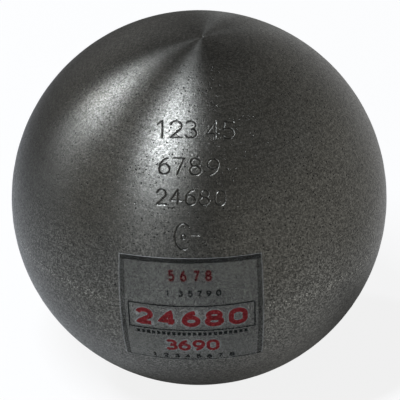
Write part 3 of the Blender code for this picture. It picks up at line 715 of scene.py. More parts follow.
def screw_profile(low, high, wall):
    """A set screw from its cup point down its thread to the hexagon socket in its lower end."""
    point = wall / 2
    end = low + SOCKET_DEPTH
    corners = [
        (0.0, high - SCREW_CUP), (point, high), (wall, high - point), (wall, low), (SOCKET_RADIUS, low),
        (SOCKET_RADIUS, end), (0.0, end),
    ]
    return fine_path(rounded(corners, SCREW_EDGE), SCREW_EDGE)


def screw_relief(wall, threaded):
    """A screw's thread, and its socket's sides: the radius over the cosine from each side's middle."""
    def relief(angle, radius, height):
        from_side = np.mod(angle, np.pi / 3) - np.pi / 6
        widened = SOCKET_RADIUS * (1.0 / np.cos(from_side) - 1.0)
        socket = np.abs(radius - SOCKET_RADIUS) < 10 * TOUCHING
        return threaded(angle, radius, height) - widened * socket * (radius < wall / 2)
    return relief


def spindle_profile(edge):
    """The spindle from its top down: threaded end, journal and collar."""
    _, high, collar = extent("spindle")
    low = extent("dust_seal")[0] - FIT_GAP - COLLAR_THICKNESS
    top = low + COLLAR_THICKNESS
    corners = [
        (0.0, high), (SHAFT_RADIUS, high), (SHAFT_RADIUS, top), (collar, top), (collar, low), (0.0, low),
    ]
    return fine_path(rounded(corners, edge), SHAFT_STEP)


def spindle_relief(threaded):
    """The spindle's thread and the pin's cross hole, which nearly reaches the axis from both sides."""
    middle = extent("castle_nut")[1] - NUT_SLOT_DEPTH + COTTER_HOLE_RADIUS

    def relief(angle, radius, height):
        away = np.hypot(radius * np.sin(angle), height - middle)
        hole = (away < COTTER_HOLE_RADIUS) & (radius > SHAFT_RADIUS / 2)
        return np.where(hole, radius - COTTER_HOLE_END, threaded(angle, radius, height))
    return relief


def eye_mesh():
    """The spindle's eye: a rounded section carried round its hole.

    Its outer radius is the eye's below and, above, the lesser of the radius over the sine and the
    rise to the collar over the cosine of the angle from straight up.
    """
    centre = extent("spindle")[0] + EYE_RADIUS
    rise = extent("dust_seal")[0] - FIT_GAP - COLLAR_THICKNESS / 2 - centre
    turn = np.linspace(0, 2 * np.pi, EYE_SECTIONS, endpoint=False)[:, None]
    up, side = np.cos(turn), np.abs(np.sin(turn))
    above = np.minimum(EYE_RADIUS / np.maximum(side, GUARD), rise / np.maximum(up, GUARD))
    outer = np.where(up > 0, above, EYE_RADIUS)
    wall, half = EYE_RADIUS - EYE_HOLE_RADIUS, EYE_THICKNESS / 2
    section = ring_profile([(wall, -half), (wall, half), (0.0, half), (0.0, -half)], EYE_EDGE, EYE_STEP, 6)
    reach = EYE_HOLE_RADIUS + (outer - EYE_HOLE_RADIUS) * section[:, 0] / wall
    grid = joined(reach * np.sin(turn), section[:, 1], centre + reach * np.cos(turn))
    return ring_mesh("spindle_eye", grid)


def ball_profile(radius):
    """Half circle of a bearing ball from its top to its bottom."""
    profile = ellipse(0.0, 0.0, radius, radius, np.linspace(math.pi / 2, -math.pi / 2, BALL_POINTS))
    profile[[0, -1], 0] = 0.0
    return profile


def add_turned(name, profile, body, slot, node, columns=TURNED_COLUMNS, relief=None, middle=(0, 0, 0)):
    """Adds a turned piece in place of its CAD node."""
    mesh = turned_mesh(name, lathe(profile, columns, relief) + middle)
    mesh.set_sharp_from_angle(angle=SHARP_ANGLE)
    add_piece(name, mesh, worked_finish(slot), body, slot, node)


def add_attribute(mesh, name, values):
    """Gives each point of a mesh a value that its material reads."""
    mesh.attributes.new(name, "FLOAT", "POINT").data.foreach_set("value", values.astype(np.float32))


def film_point(across, up, lift):
    """Place over the ball of a point to the right of and above the tilted film's middle.

    Up is arc along a meridian, and across is arc times the square root of cos(latitude), which
    shares the stretch between the film's upper and lower edge. Near the top the middle stands higher
    by a parabola across.
    """
    near_top = smooth_step((up / FILM_TOP - BOW_START) / (1 - BOW_START))
    up = up + FILM_BOW * near_top * (1 - (2 * across / FILM_WIDTH) ** 2)
    right = across * math.cos(FILM_TILT) - up * math.sin(FILM_TILT)
    rise = across * math.sin(FILM_TILT) + up * math.cos(FILM_TILT)
    latitude = FILM_LATITUDE + rise / HEAD_RADIUS
    longitude = FILM_LONGITUDE + right / (HEAD_RADIUS * np.sqrt(np.cos(latitude)))
    return over_ball(lift, latitude, longitude)


def film_surface(across, up, above, sizes):
    """A point above the film's face.

    Near its edges the film stands off more than its least lift: a smooth step of the nearness to
    them, made uneven by the product of two slanting sines.
    """
    edge = np.maximum(np.abs(across) / (FILM_WIDTH / 2), np.abs(up) / (FILM_HEIGHT / 2))
    first, bend, second = CREASE_LENGTHS
    across_film = np.sin(across / first + CREASE_BEND * np.sin(up / bend))
    crease = across_film * np.sin(up / second + CREASE_SHIFT)
    near_edge = smooth_step((edge - CREASE_START) / (1 - CREASE_START))
    wave = CREASE_DEPTH * near_edge * (CREASE_LEVEL + CREASE_SWING * crease)
    return film_point(across, up, sizes.film_lift + sizes.film_thickness + wave + above)


def sheet_mesh(name, face, back):
    """A closed thin sheet between two grids of points, with a rim of quads round its edge."""
    rows, columns = face.shape[:2]
    index = np.arange(rows * columns).reshape(rows, columns)
    loop = np.concatenate([index[0, :-1], index[:-1, -1], index[-1, :0:-1], index[:0:-1, 0]])
    ahead = np.roll(loop, -1)
    other = rows * columns
    rim = joined(loop, ahead, ahead + other, loop + other)
    quads = grid_faces(index, False, False)
    points = np.vstack([face.reshape(-1, 3), back.reshape(-1, 3)])
    return make_mesh(name, points, np.vstack([quads, quads[:, ::-1] + other, rim]))


def ribbon(path, width, sizes):
    """Points and quads of a flat ribbon printed along a path on the film.

    The ribbon's edges lie half its width to the left and right of the path, along the bisector at
    each corner, and its four long edges make a thin box whose ends are closed.
    """
    run = np.diff(path, axis=0)
    run = run[np.linalg.norm(run, axis=1) > GUARD]
    path = np.vstack([path[:1], path[:1] + np.cumsum(run, axis=0)])
    along = run / np.linalg.norm(run, axis=1)[:, None]
    side = joined(-along[:, 1], along[:, 0])
    closed = np.linalg.norm(path[0] - path[-1]) < GUARD
    before = np.vstack([side[-1:] if closed else side[:1], side])
    after = np.vstack([side, side[:1] if closed else side[-1:]])
    mitre = before + after
    mitre /= np.maximum(np.einsum("ij,ij->i", mitre, after), SHARPEST_MITRE)[:, None]
    left, right = path + mitre * width / 2, path - mitre * width / 2
    low, high = PRINT_LIFT, PRINT_LIFT + PRINT_THICKNESS
    edges = [(right, low), (right, high), (left, high), (left, low)]
    points = np.stack([film_surface(*place.T, above, sizes) for place, above in edges], axis=1)
    index = np.arange(4 * len(path)).reshape(len(path), 4)
    quads = np.vstack([grid_faces(index, False, True), index[0], index[-1, ::-1]])
    return points.reshape(-1, 3), quads


def printed_paths():
    """Every printed stroke as (ink, width, path in the film's plane)."""
    strokes = []
    for *row, stroke, ink in PRINT_ROWS:
        strokes += [(ink, stroke * MM, fine_path(path)) for path in row_paths(*row)]
    up, first, last, count, length, height = TICK_ROW
    for across in np.linspace(first, last, count):
        tick = np.array([(across - length / 2, up), (across + length / 2, up)])
        strokes.append(("black", height * MM, tick * MM))
    side = FILM_WIDTH / 2 - FRAME_MARGIN - FRAME_BAND / 2
    far = side + FRAME_BAND / 2
    top = FILM_TOP - TOP_MARGIN - FRAME_BAND / 2
    under = top - FRAME_BAND / 2
    bottom = FILM_BOTTOM + FRAME_MARGIN
    x0, y0, x1, y1 = BOX_CORNERS
    lines = (
        # The top band is printed frame and painted shadow: its grey ink is darker than the side bands' for
        # the shadow of the crease along the film's top
        ("grey", FRAME_BAND, (-far, top), (far, top)),
        ("pale", FRAME_BAND, (-side, under), (-side, bottom)),
        ("pale", FRAME_BAND, (side, bottom), (side, under)),
        ("black", BOTTOM_LINE_WIDTH, (-far, bottom), (far, bottom)),
        ("black", LINE_WIDTH, (x0, y0), (x0, y1), (x1, y1), (x1, y0), (x0, y0)),
    )
    return strokes + [(ink, width, fine_path(np.array(corners))) for ink, width, *corners in lines]


def print_mesh(name, ink, sizes):
    """All ribbons of one ink as one mesh."""
    ribbons = [ribbon(path, width, sizes) for colour, width, path in printed_paths() if colour == ink]
    starts = np.cumsum([0] + [len(points) for points, _ in ribbons])
    quads = np.vstack([quads + start for (_, quads), start in zip(ribbons, starts)])
    mesh = make_mesh(name, np.vstack([points for points, _ in ribbons]), quads)
    mesh.set_sharp_from_angle(angle=PRINT_SHARP_ANGLE)
    return mesh


def film_halo(across, up):
    """Whitish ground round the large red numbers, 1 on a stroke and 0 a little away from it."""
    nearest = np.full(across.shape, 1.0)
    for ink, width, path in printed_paths():
        if ink == "red" and width > MM:
            nearest = np.minimum(nearest, path_distance(across, up, path) - width / 2)
    return 1.0 - smooth_step(nearest / HALO_WIDTH)


def film_mesh(sizes):
    """The film: a sheet along the ball with creases near its edges, lifted off it by a hair."""
    columns = np.linspace(-FILM_WIDTH / 2, FILM_WIDTH / 2, round(FILM_WIDTH / FILM_STEP) + 1)
    rows = np.linspace(FILM_TOP, FILM_BOTTOM, round((FILM_TOP - FILM_BOTTOM) / FILM_STEP) + 1)
    across, up = np.meshgrid(columns, rows)
    face = film_surface(across, up, 0.0, sizes)
    mesh = sheet_mesh("inspection_film_sheet", face, film_surface(across, up, -sizes.film_thickness, sizes))
    inset = np.minimum(FILM_WIDTH / 2 - np.abs(across), np.minimum(FILM_TOP - up, up - FILM_BOTTOM))
    # The rim values are a painted highlight along the film's edge
    rim = 1.0 - smooth_step(inset / EDGE_HIGHLIGHT_WIDTH)
    for name, values in (("halo", film_halo(across, up)), ("rim", rim)):
        add_attribute(mesh, name, np.tile(values.ravel(), 2))
    return mesh


def math_method(operation, swapped=False):
    """A method that adds a Math node on an output and another value."""
    def method(self, other):
        values = (other, self) if swapped else (self, other)
        return add_node(self.tree, "Math", dict(enumerate(values)), operation=operation)[0]
    return method


class Output:
    """A shader node's output. Arithmetic with outputs adds Math nodes to their tree."""

    __add__ = math_method("ADD")
    __sub__ = math_method("SUBTRACT")
    __rsub__ = math_method("SUBTRACT", swapped=True)
    __mul__ = math_method("MULTIPLY")
    __truediv__ = math_method("DIVIDE")
    __rtruediv__ = math_method("DIVIDE", swapped=True)
    __pow__ = math_method("POWER")
    __lt__ = math_method("LESS_THAN")
    larger = math_method("MAXIMUM")
    lesser = math_method("MINIMUM")

    def __init__(self, socket):
        self.socket = socket
        self.tree = socket.id_data

    def graded(self, low, high, start=0.0, end=1.0):
        """The output mapped smoothly from low..high to start..end."""
        inputs = {"Value": self, "From Min": low, "From Max": high, "To Min": start, "To Max": end}
        return add_node(self.tree, "MapRange", inputs, interpolation_type="SMOOTHSTEP")[0]


def feed(node, inputs):
    """Sets sockets of a node to values, or links them to outputs."""
    for key, value in inputs.items():
        if isinstance(value, Output):
            node.id_data.links.new(value.socket, node.inputs[key])
        else:
            node.inputs[key].default_value = value


def outputs_of(node):
    """A node's outputs by number and by name."""
    outputs = {number: Output(socket) for number, socket in enumerate(node.outputs)}
    return outputs | {socket.name: outputs[number] for number, socket in enumerate(node.outputs)}


def add_node(tree, kind, inputs=None, **settings):
    """Adds a shader node and returns its outputs."""
    node = tree.nodes.new("ShaderNode" + kind)
    for name, value in settings.items():
        setattr(node, name, value)
    feed(node, inputs or {})
    return outputs_of(node)


def separated(vector):
    """The three parts of a vector."""
    parts = add_node(vector.tree, "SeparateXYZ", {0: vector})
    return parts[0], parts[1], parts[2]


def mixed(share, first, second):
    """The mix of two colours: the first one where the share is 0."""
    return add_node(share.tree, "Mix", {"Factor": share, 6: first, 7: second}, data_type="RGBA")[2]


def shaded(colour, level):
    """A colour times a grey level."""
    inputs = {"Factor": 1.0, 6: colour, 7: level}
    return add_node(level.tree, "Mix", inputs, data_type="RGBA", blend_type="MULTIPLY")[2]


def noise(place, scale, detail=2.0, roughness=0.5):
    """The value of a noise texture, about 0.5."""
    inputs = {"Vector": place, "Scale": scale, "Detail": detail, "Roughness": roughness}
    return add_node(place.tree, "TexNoise", inputs)[0]


def shader_group(name, output, **sizes):
    """A node group that turns places and sizes into one value: its inputs, and its node for that value."""
    tree = bpy.data.node_groups.new(name, "ShaderNodeTree")
    tree.interface.new_socket("Vector", in_out="INPUT", socket_type="NodeSocketVector")
    for label, default in sizes.items():
        size = tree.interface.new_socket(label, in_out="INPUT", socket_type="NodeSocketFloat")
        size.default_value = default
    tree.interface.new_socket(output, in_out="OUTPUT", socket_type="NodeSocketFloat")
    return outputs_of(tree.nodes.new("NodeGroupInput")), tree.nodes.new("NodeGroupOutput")


def turning_marks_group():
    """Fine rings round the Z axis: noise drawn out along them, with the radius and height across."""
    given, made = shader_group("Turning marks", "Height", Spacing=0.3 * MM, Length=12 * MM)
    x, y, z = separated(given["Vector"])
    across = (z + (x * x + y * y) ** 0.5 * -0.35) / given["Spacing"]
    drawn_out = add_node(x.tree, "CombineXYZ", {0: x / given["Length"], 1: y / given["Length"], 2: across})
    feed(made, {"Height": noise(drawn_out[0], 1.0, 3.0, 0.6)})


def grain_group():
    """Cast grain: fine noise over a coarser one, as a value about 0.5."""
    given, made = shader_group("Cast grain", "Value", Size=0.6 * MM)
    per_metre = 1.0 / given["Size"]
    fine = noise(given["Vector"], per_metre * 2.1, 1.0)
    feed(made, {"Value": fine * 0.55 + noise(given["Vector"], per_metre, 1.0) * 0.45})


def pores_and_glints_group():
    """Open pores, and painted glints: round spots of uneven size, one in some cells of a Voronoi pattern."""
    given, made = shader_group("Pores", "Mask", Spacing=1.5 * MM, Radius=0.2 * MM, Share=0.6)
    per_metre = 1.0 / given["Spacing"]
    inputs = {"Vector": given["Vector"], "Scale": per_metre, "Randomness": 1.0}
    cells = add_node(per_metre.tree, "TexVoronoi", inputs)
    chance = add_node(per_metre.tree, "SeparateColor", {0: cells["Color"]})
    size = given["Radius"] * (chance[1] + 0.4)
    spot = (cells["Distance"] * given["Spacing"] / size).graded(1.0, 0.45)
    feed(made, {"Mask": spot * (chance[0] < given["Share"])})


def grouped(name, place, **sizes):
    """The value of a node group at each place."""
    group = bpy.data.node_groups[name]
    return add_node(place.tree, "Group", {"Vector": place, **sizes}, node_tree=group)[0]


def new_finish(name, metallic):
    """A material, its shader and the place of each point from the ball's middle."""
    material = bpy.data.materials.new(name)
    material.use_nodes = True
    tree = material.node_tree
    shader = tree.nodes["Principled BSDF"]
    feed(shader, {"Metallic": metallic})
    inputs = {"Vector": add_node(tree, "TexCoord")["Object"], "Location": (0.0, 0.0, -HEAD_CENTRE)}
    return material, shader, add_node(tree, "Mapping", inputs)[0]


def attribute(tree, name):
    """A value that the mesh's points carry."""
    return add_node(tree, "Attribute", attribute_name=name)["Fac"]


def add_bump(shader, height, distance):
    """Bump from a height whose full range is a distance."""
    inputs = {"Height": height, "Distance": distance, "Strength": 1.0}
    feed(shader, {"Normal": add_node(height.tree, "Bump", inputs)[0]})


def meridian(place):
    """Direction up the meridian at each point: the outward direction crossed with the way round."""
    def cross(first, second):
        return add_node(place.tree, "VectorMath", {0: first, 1: second}, operation="CROSS_PRODUCT")[0]
    upward = cross(place, cross((0.0, 0.0, 1.0), place))
    return add_node(place.tree, "VectorMath", {0: upward}, operation="NORMALIZE")[0]


def turned_iron(colours):
    """Turned cast iron: drawn-out highlights, turning marks, grain, open pores, stamped strokes, painted
    glints and painted shade at the pole.
    """
    material, shader, place = new_finish("turned_iron", 1.0)
    up = separated(place)[2]
    marks = grouped("Turning marks", place, Spacing=0.35 * MM, Length=14 * MM)
    grain = grouped("Cast grain", place, Size=0.8 * MM)
    fine_grain = grouped("Cast grain", place, Size=0.5 * MM)
    pores = grouped("Pores", place, Spacing=1.0 * MM, Radius=0.27 * MM, Share=0.8)
    # Painted glints: sparse bright spots in the colour, more on the lower half and most in a band just below
    # the seam
    painted_glints = grouped("Pores", place, Spacing=0.5 * MM, Radius=0.19 * MM, Share=0.7)
    stain = noise(place, 22.0).graded(0.40, 0.62)
    colour = mixed(stain, (*colours.iron, 1.0), (*colours.iron_warm, 1.0))
    rough = (up + noise(place, 35.0) * 0.05).graded(0.055, 0.015, 0.42, 0.72)
    near_seam = up.graded(SEAM_HEIGHT + 0.5 * MM, SEAM_HEIGHT)
    near_seam = near_seam * up.graded(SEAM_HEIGHT - 5 * MM, SEAM_HEIGHT - 0.7 * MM)
    level = grain.graded(0.40, 0.68, -0.62, 1.35) * rough + marks.graded(0.30, 0.70, 0.84, 1.09)
    level = level + painted_glints * (rough * 0.8 + near_seam * 3.2)
    level = level * fine_grain.graded(0.35, 0.65, 0.86, 1.14)
    # Painted shade: the colour darkens towards the pole
    level = level * up.graded(0.92 * HEAD_RADIUS, 0.99 * HEAD_RADIUS, 1.0, 0.70)
    dark = (pores * 0.95).larger(attribute(up.tree, "struck") * 0.9)
    feed(shader, {
        "Base Color": mixed(dark, shaded(colour, level), (*colours.pit, 1.0)),
        "Roughness": grain.graded(0.35, 0.65, 0.39, 0.285),
        "Anisotropic": 0.90,
        "Tangent": meridian(place),
    })
    add_bump(shader, marks * 0.3 + (fine_grain - pores), 0.075 * MM)
    return material


def film_finish(colours):
    """Clear film: a greenish milky tint through which the iron shows, whiter round the large print, with a
    painted highlight along its edge.
    """
    material, shader, place = new_finish("film", 0.0)
    grain = grouped("Cast grain", place, Size=0.75 * MM)
    # The halo is the print's whitish ground; the rim whitens the film's edge as a painted highlight
    white = (attribute(place.tree, "halo") * 0.26).larger(attribute(place.tree, "rim") * 0.26)
    level = noise(place, 90.0, 3.0).graded(0.35, 0.65, 0.85, 1.15) * grain.graded(0.3, 0.7, 0.8, 1.2)
    colour = mixed(white, (*colours.film, 1.0), HALO_AND_EDGE_HIGHLIGHT_COLOUR)
    feed(shader, {"Base Color": shaded(colour, level), "Roughness": 0.38, "Alpha": white + 0.28})
    add_bump(shader, grain, 0.01 * MM)
    return material


def ink_finish(name, colour, cover):
    """Printing ink with worn, thinner spots, fainter in the top row."""
    material, shader, place = new_finish(name, 0.0)
    wear = noise(place, 1500.0, 2.0)
    faint = separated(place)[2].graded(1 * MM, 4 * MM, 1.0, 0.66)
    alpha = wear.graded(0.55, 0.72, cover, cover * 0.6)
    feed(shader, {
        "Roughness": 0.7,
        "Specular IOR Level": 0.06,
        "Base Color": shaded((*colour, 1.0), wear.graded(0.35, 0.65, 0.6, 1.35) * faint),
        "Alpha": alpha * faint if name == "red_ink" else alpha,
    })
    return material


def worked_finish(name):
    """Worked metal or rubber: turning marks, grain, and patches of a second colour that are duller."""
    label = f"worked_{name}"
    if label in bpy.data.materials:
        return bpy.data.materials[label]
    colour, second, roughness, metallic, spacing, length, size, depth = FINISHES[name]
    material, shader, place = new_finish(label, metallic)
    marks = grouped("Turning marks", place, Spacing=spacing * MM, Length=length * MM)
    grain = grouped("Cast grain", place, Size=size * MM)
    patch = noise(place, 160.0, 3.0).graded(0.45, 0.68)
    level = marks.graded(0.3, 0.7, 0.86, 1.12) * grain.graded(0.3, 0.7, 0.9, 1.1)
    feed(shader, {
        "Base Color": shaded(mixed(patch, (*colour, 1.0), (*second, 1.0)), level),
        "Roughness": grain.graded(0.3, 0.7, roughness * 0.85, roughness * 1.15) + patch * 0.08,
    })
    add_bump(shader, marks + grain, depth * MM)
    return material


class HAMMER_OT_head_casting(bpy.types.Operator):
    """Makes the turned iron ball with its stamped numbers, foot ring, bore and cavity"""

    bl_idname = "hammer.head_casting"
    bl_label = "Head casting"

    def execute(self, context):
        grid, struck = ball_grid(context.scene.head_sizes)
        mesh = turned_mesh("head_casting", grid)
        add_attribute(mesh, "struck", np.concatenate([struck[0, :1], struck[1:-1].ravel(), struck[-1, :1]]))
        material = turned_iron(context.scene.head_finishes)
        add_piece("head_casting", mesh, material, "head", "turned_iron", "head_shell")
        return {"FINISHED"}


class HAMMER_OT_inspection_film(bpy.types.Operator):
    """Makes the printed film on the front of the ball"""

    bl_idname = "hammer.inspection_film"
    bl_label = "Inspection film"

    def execute(self, context):
        sizes, colours = context.scene.head_sizes, context.scene.head_finishes
        film = film_finish(colours)
        add_piece("inspection_film_sheet", film_mesh(sizes), film, "head", "film", "inspection_film")
        inks = (
            # The grey ink's greater cover adds painted shadow to the film's top band
            ("red", colours.red_ink, 0.95), ("black", colours.black_ink, 1.0),
            ("grey", colours.black_ink, 0.35), ("pale", colours.black_ink, 0.17),
        )
        for ink, colour, cover in inks:
            name = f"film_print_{ink}"
            material = ink_finish(f"{ink}_ink", colour, cover)
            add_piece(name, print_mesh(name, ink, sizes), material, "head", "film")
        return {"FINISHED"}


class HAMMER_OT_core(bpy.types.Operator):
    """Makes the lead core and the steel plate under it"""

    bl_idname = "hammer.core"
    bl_label = "Lead core"

    def execute(self, context):
        sizes = context.scene.swivel_sizes
        add_turned("lead_casting", lead_profile(), "head", "lead", "lead_core", relief=lead_relief)
        low, high, radius = extent("core_plate")
        plate = rounded([(0.0, high), (radius, high), (radius, low), (0.0, low)], sizes.edge)
        add_turned("core_disc", fine_path(plate, CORE_STEP), "head", "machined_steel", "core_plate")
        return {"FINISHED"}


class HAMMER_OT_housing(bpy.types.Operator):
    """Makes the swivel's housing with its set screws, bush and seal"""

    bl_idname = "hammer.housing"
    bl_label = "Swivel housing"

    def execute(self, context):
        sizes = context.scene.swivel_sizes
        low, high, _ = extent("swivel_housing")
        cut = thread(BORE_RADIUS - FIT_GAP, low, high, sizes.housing_pitch, sizes.thread_share)
        cup = housing_profile(sizes.edge)
        add_turned("housing_cup", cup, "head", "machined_steel", "swivel_housing", relief=cut)
        low, high, _ = extent("guide_bush")
        inner = SHAFT_RADIUS + RUNNING_GAP
        bush = ring_profile(box_corners(inner, inner + BUSH_WALL, low, high), sizes.edge, TURNED_STEP)
        add_turned("bush", bush, "head", "bronze", "guide_bush", relief=bush_relief)
        add_turned("seal", seal_profile(sizes.edge / 2), "head", "seal_rubber", "dust_seal")
        for number in (1, 2):
            node = f"set_screw_{number}"
            (x0, y0, low), (x1, y1, high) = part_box(node)
            wall = (x1 - x0) / 2
            relief = screw_relief(wall, thread(wall, low, high, sizes.screw_pitch, sizes.thread_share))
            profile, middle = screw_profile(low, high, wall), ((x0 + x1) / 2, (y0 + y1) / 2, 0.0)
            add_turned(f"screw_{number}", profile, "head", "black_steel", node, SMALL_COLUMNS, relief, middle)
        return {"FINISHED"}


class HAMMER_OT_bearing(bpy.types.Operator):
    """Makes the thrust bearing's washers and balls"""

    bl_idname = "hammer.bearing"
    bl_label = "Thrust bearing"

    def execute(self, context):
        edge = context.scene.swivel_sizes.edge
        lower = race_profile("housing_washer", SHAFT_RADIUS + LOWER_RACE_GAP, edge, 1)
        add_turned("lower_race", lower, "head", "bearing_steel", "housing_washer")
        upper = race_profile("shaft_washer", SHAFT_RADIUS + FIT_GAP, edge, -1)
        add_turned("upper_race", upper, "spindle", "bearing_steel", "shaft_washer")
        for number in range(1, BALL_COUNT + 1):
            node = f"ball_{number:02d}"
            low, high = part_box(node)
            name, profile, middle = f"bearing_{node}", ball_profile((high.z - low.z) / 2), (low + high) / 2
            add_turned(name, profile, node, "bearing_steel", node, SMALL_COLUMNS, middle=middle)
        return {"FINISHED"}


class HAMMER_OT_spindle(bpy.types.Operator):
    """Makes the spindle with its eye and the washer under its nut"""

    bl_idname = "hammer.spindle"
    bl_label = "Spindle"

    def execute(self, context):
        sizes = context.scene.swivel_sizes
        low, high, outer = extent("thrust_washer")
        pitch, end = sizes.shaft_pitch, extent("spindle")[1]
        threaded = thread(SHAFT_RADIUS, high - pitch, end, pitch, sizes.thread_share)
        shaft, relief = spindle_profile(sizes.edge), spindle_relief(threaded)
        add_turned("spindle_shaft", shaft, "spindle", "machined_steel", "spindle", relief=relief)
        eye = eye_mesh()
        eye.set_sharp_from_angle(angle=SHARP_ANGLE)
        add_piece("spindle_eye", eye, worked_finish("machined_steel"), "spindle", "machined_steel")
        corners = box_corners(SHAFT_RADIUS + FIT_GAP, outer, low, high)
        washer = rounded(corners, sizes.edge, closed=True)
        add_turned("plain_washer", washer, "spindle", "machined_steel", "thrust_washer")
        return {"FINISHED"}


class HAMMER_OT_carried_over(bpy.types.Operator):
    """Gives the pieces that keep their CAD shape their finishes"""

    bl_idname = "hammer.carried_over"
    bl_label = "Finishes of the CAD pieces"

    def execute(self, context):
        for name, finish in CAD_FINISHES.items():
            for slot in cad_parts[name].material_slots:
                slot.link = "OBJECT"
                slot.material = worked_finish(finish)
        return {"FINISHED"}


def aim(thing, direction, distance, roll=0.0):
    """Puts a camera or a lamp in a direction from the ball's middle, turned to it and rolled."""
    back = Vector(direction).normalized()
    turn = back.to_track_quat("Z", "Y").to_matrix().to_4x4() @ Matrix.Rotation(roll, 4, "Z")
    thing.matrix_world = Matrix.Translation(Vector((0.0, 0.0, HEAD_CENTRE)) + back * distance) @ turn


def add_lamp(name, power, direction, width, height, colour):
    """A soft lamp that faces the ball's middle."""
    lamp = bpy.data.lights.new(name, "AREA")
    lamp.shape = "RECTANGLE"
    lamp.size, lamp.size_y = width, height
    lamp.energy = power
    lamp.color = colour
    aim(add_object(name, lamp), direction, LAMP_DISTANCE)


def make_world(stage):
    """Surroundings that are white at the horizon and darker overhead.

    Reflections also darken towards the back left and in an upright band straight in front, and are
    brighter high up on the left; to the camera only the height counts. The soft light on other
    surfaces is weaker than what reflections and the camera see.
    """
    world = bpy.data.worlds.new("studio")
    world.use_nodes = True
    tree = world.node_tree
    right, back, up = separated(add_node(tree, "TexCoord")["Generated"])
    ray = add_node(tree, "LightPath")
    unseen = 1.0 - ray["Is Camera Ray"]
    behind = back - right * 0.5
    haze = behind.graded(-0.2, 1.0, 0.3, 0.9) * unseen * behind.graded(0.88, 1.06, 1.0, 0.72)
    side = right.graded(-0.8, 0.5, 0.82, 1.0 - stage.ceiling) - right.graded(0.5, 0.95, 0.0, 0.13)
    band = right.graded(-0.4, -0.05) * right.graded(0.45, 0.15)
    front = back.graded(-0.5, -0.85) * band * unseen * 0.85
    depth = (up.graded(0.05, 0.55).larger(haze) * side).larger(front)
    left = right.graded(-0.2, -0.6) * back.graded(-0.6, -0.2) * back.graded(0.6, 0.25)
    glow = left * up.graded(0.3, 0.6, 0.0, 0.5) * unseen
    seen = ray["Is Camera Ray"].larger(ray["Is Glossy Ray"]).larger(ray["Is Transmission Ray"])
    feed(tree.nodes["Background"], {
        "Color": 1.0 - depth + glow,
        "Strength": seen.graded(0.0, 1.0, stage.surround, 1.0),
    })
    bpy.context.scene.world = world


def make_floor():
    """White floor on which the head's shadow shows.

    The camera sees white emission mixed with lit paper by the distance from the middle. Reflections
    see a dimmer emission near the head, with painted light brighter to the right and just in front, and a
    painted shadow, dark in the patch near the head behind on the right.
    """
    mesh = bpy.data.meshes.new("floor")
    size = FLOOR_HALF
    corners = [(-size, -size, 0), (size, -size, 0), (size, size, 0), (-size, size, 0)]
    mesh.from_pydata(corners, [], [(0, 1, 2, 3)])
    floor = add_object("floor", mesh)
    material = bpy.data.materials.new("floor")
    material.use_nodes = True
    tree = material.node_tree
    tree.nodes.remove(tree.nodes["Principled BSDF"])
    place = add_node(tree, "TexCoord")["Object"]
    right, back, _ = separated(place)
    away = add_node(tree, "VectorMath", {0: place}, operation="LENGTH")["Value"]
    # Painted shadow: in reflections the floor darkens in a patch near the head behind on the right
    painted_shadow = away.graded(0.105, 0.075) * back.graded(-0.035, 0.006) * right.graded(0.005, 0.035)
    # Painted light: in reflections the floor is brighter to the right and just in front of the head
    front = back.graded(-0.06, -0.015, 0.5, 0.0) * back.graded(-0.13, -0.065)
    strength = right.graded(-0.03, 0.10, 0.1, 0.66) * (1.0 - painted_shadow * 0.8)
    strength = strength + front * right.graded(0.045, 0.07, 1.0, 0.5)
    in_gloss = (away.graded(0.1, 0.4, 0.24, 1.0) + right.graded(0.0, 0.06, 0.0, 0.5)).lesser(1.0)
    ray = add_node(tree, "LightPath")
    to_gloss = ray["Is Glossy Ray"] * in_gloss.larger(painted_shadow * 0.85)
    to_camera = ray["Is Camera Ray"].larger(ray["Is Transmission Ray"]) * away.graded(0.15, 0.6, 0.86, 1.0)
    paper = add_node(tree, "BsdfDiffuse", {"Color": (0.8, 0.8, 0.8, 1.0)})[0]
    white = add_node(tree, "Emission", {"Color": (1.0, 1.0, 1.0, 1.0)})[0]
    dim = add_node(tree, "Emission", {"Strength": strength})[0]
    dimmed = add_node(tree, "MixShader", {0: to_gloss, 1: paper, 2: dim})[0]
    surface = add_node(tree, "MixShader", {0: to_camera, 1: dimmed, 2: white})[0]
    feed(tree.nodes["Material Output"], {"Surface": surface})
    mesh.materials.append(material)


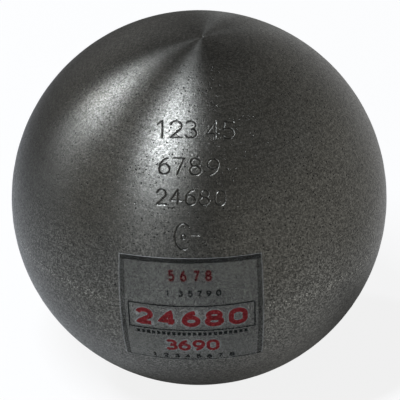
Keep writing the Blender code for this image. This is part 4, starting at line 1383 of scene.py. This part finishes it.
def make_camera(stage):
    """Long lens at the photograph's angle; the ball's middle lies at its place in the frame."""
    camera = bpy.data.cameras.new("camera")
    limb = HEAD_RADIUS / math.sqrt(stage.distance**2 - HEAD_RADIUS**2)
    half_view = limb * FRAME_PIXELS / 2 / BALL_PIXELS
    camera.sensor_width = SENSOR_MM
    camera.lens = SENSOR_MM / 2 / half_view
    camera.shift_x = (FRAME_PIXELS / 2 - BALL_PLACE[0]) / FRAME_PIXELS
    camera.shift_y = (BALL_PLACE[1] - FRAME_PIXELS / 2) / FRAME_PIXELS
    camera.clip_end = CLIP_END
    bpy.context.scene.camera = add_object("camera", camera)
    back = (0.0, -math.cos(stage.elevation), math.sin(stage.elevation))
    aim(bpy.context.scene.camera, back, stage.distance, stage.roll)


class HAMMER_OT_stage(bpy.types.Operator):
    """Makes the floor, the surroundings, the lamps and the camera"""

    bl_idname = "hammer.stage"
    bl_label = "Stage"

    def execute(self, context):
        stage = context.scene.head_stage
        make_world(stage)
        make_floor()
        for name, settings in LAMPS.items():
            add_lamp(name, getattr(stage, name), *settings)
        make_camera(stage)
        context.scene.view_settings.view_transform = "Standard"
        return {"FINISHED"}


class HAMMER_PT_panel(bpy.types.Panel):
    """Lists the operators that build the hammer head"""

    bl_idname = "HAMMER_PT_panel"
    bl_label = "Hammer head"
    bl_space_type = "VIEW_3D"
    bl_region_type = "UI"
    bl_category = "Hammer head"

    def draw(self, context):
        for operator in OPERATORS:
            self.layout.operator(operator.bl_idname)
        for name in GROUPS:
            group = getattr(context.scene, name)
            box = self.layout.box()
            for setting in group.__annotations__:
                box.prop(group, setting)


OPERATORS = (
    HAMMER_OT_head_casting, HAMMER_OT_inspection_film, HAMMER_OT_core, HAMMER_OT_housing, HAMMER_OT_bearing,
    HAMMER_OT_spindle, HAMMER_OT_carried_over, HAMMER_OT_stage,
)
GROUPS = {
    "head_sizes": HeadSizes, "swivel_sizes": SwivelSizes, "head_finishes": HeadFinishes,
    "head_stage": StageSettings,
}


def register():
    for name, group in GROUPS.items():
        bpy.utils.register_class(group)
        setattr(bpy.types.Scene, name, PointerProperty(type=group))
    for kind in (*OPERATORS, HAMMER_PT_panel):
        bpy.utils.register_class(kind)


def unregister():
    for kind in (HAMMER_PT_panel, *OPERATORS):
        bpy.utils.unregister_class(kind)
    for name, group in GROUPS.items():
        delattr(bpy.types.Scene, name)
        bpy.utils.unregister_class(group)


def main():
    register()
    for make_group in (turning_marks_group, grain_group, pores_and_glints_group):
        make_group()
    for operator in OPERATORS:
        category, name = operator.bl_idname.split(".")
        getattr(getattr(bpy.ops, category), name)()


if __name__ == "__main__":
    main()
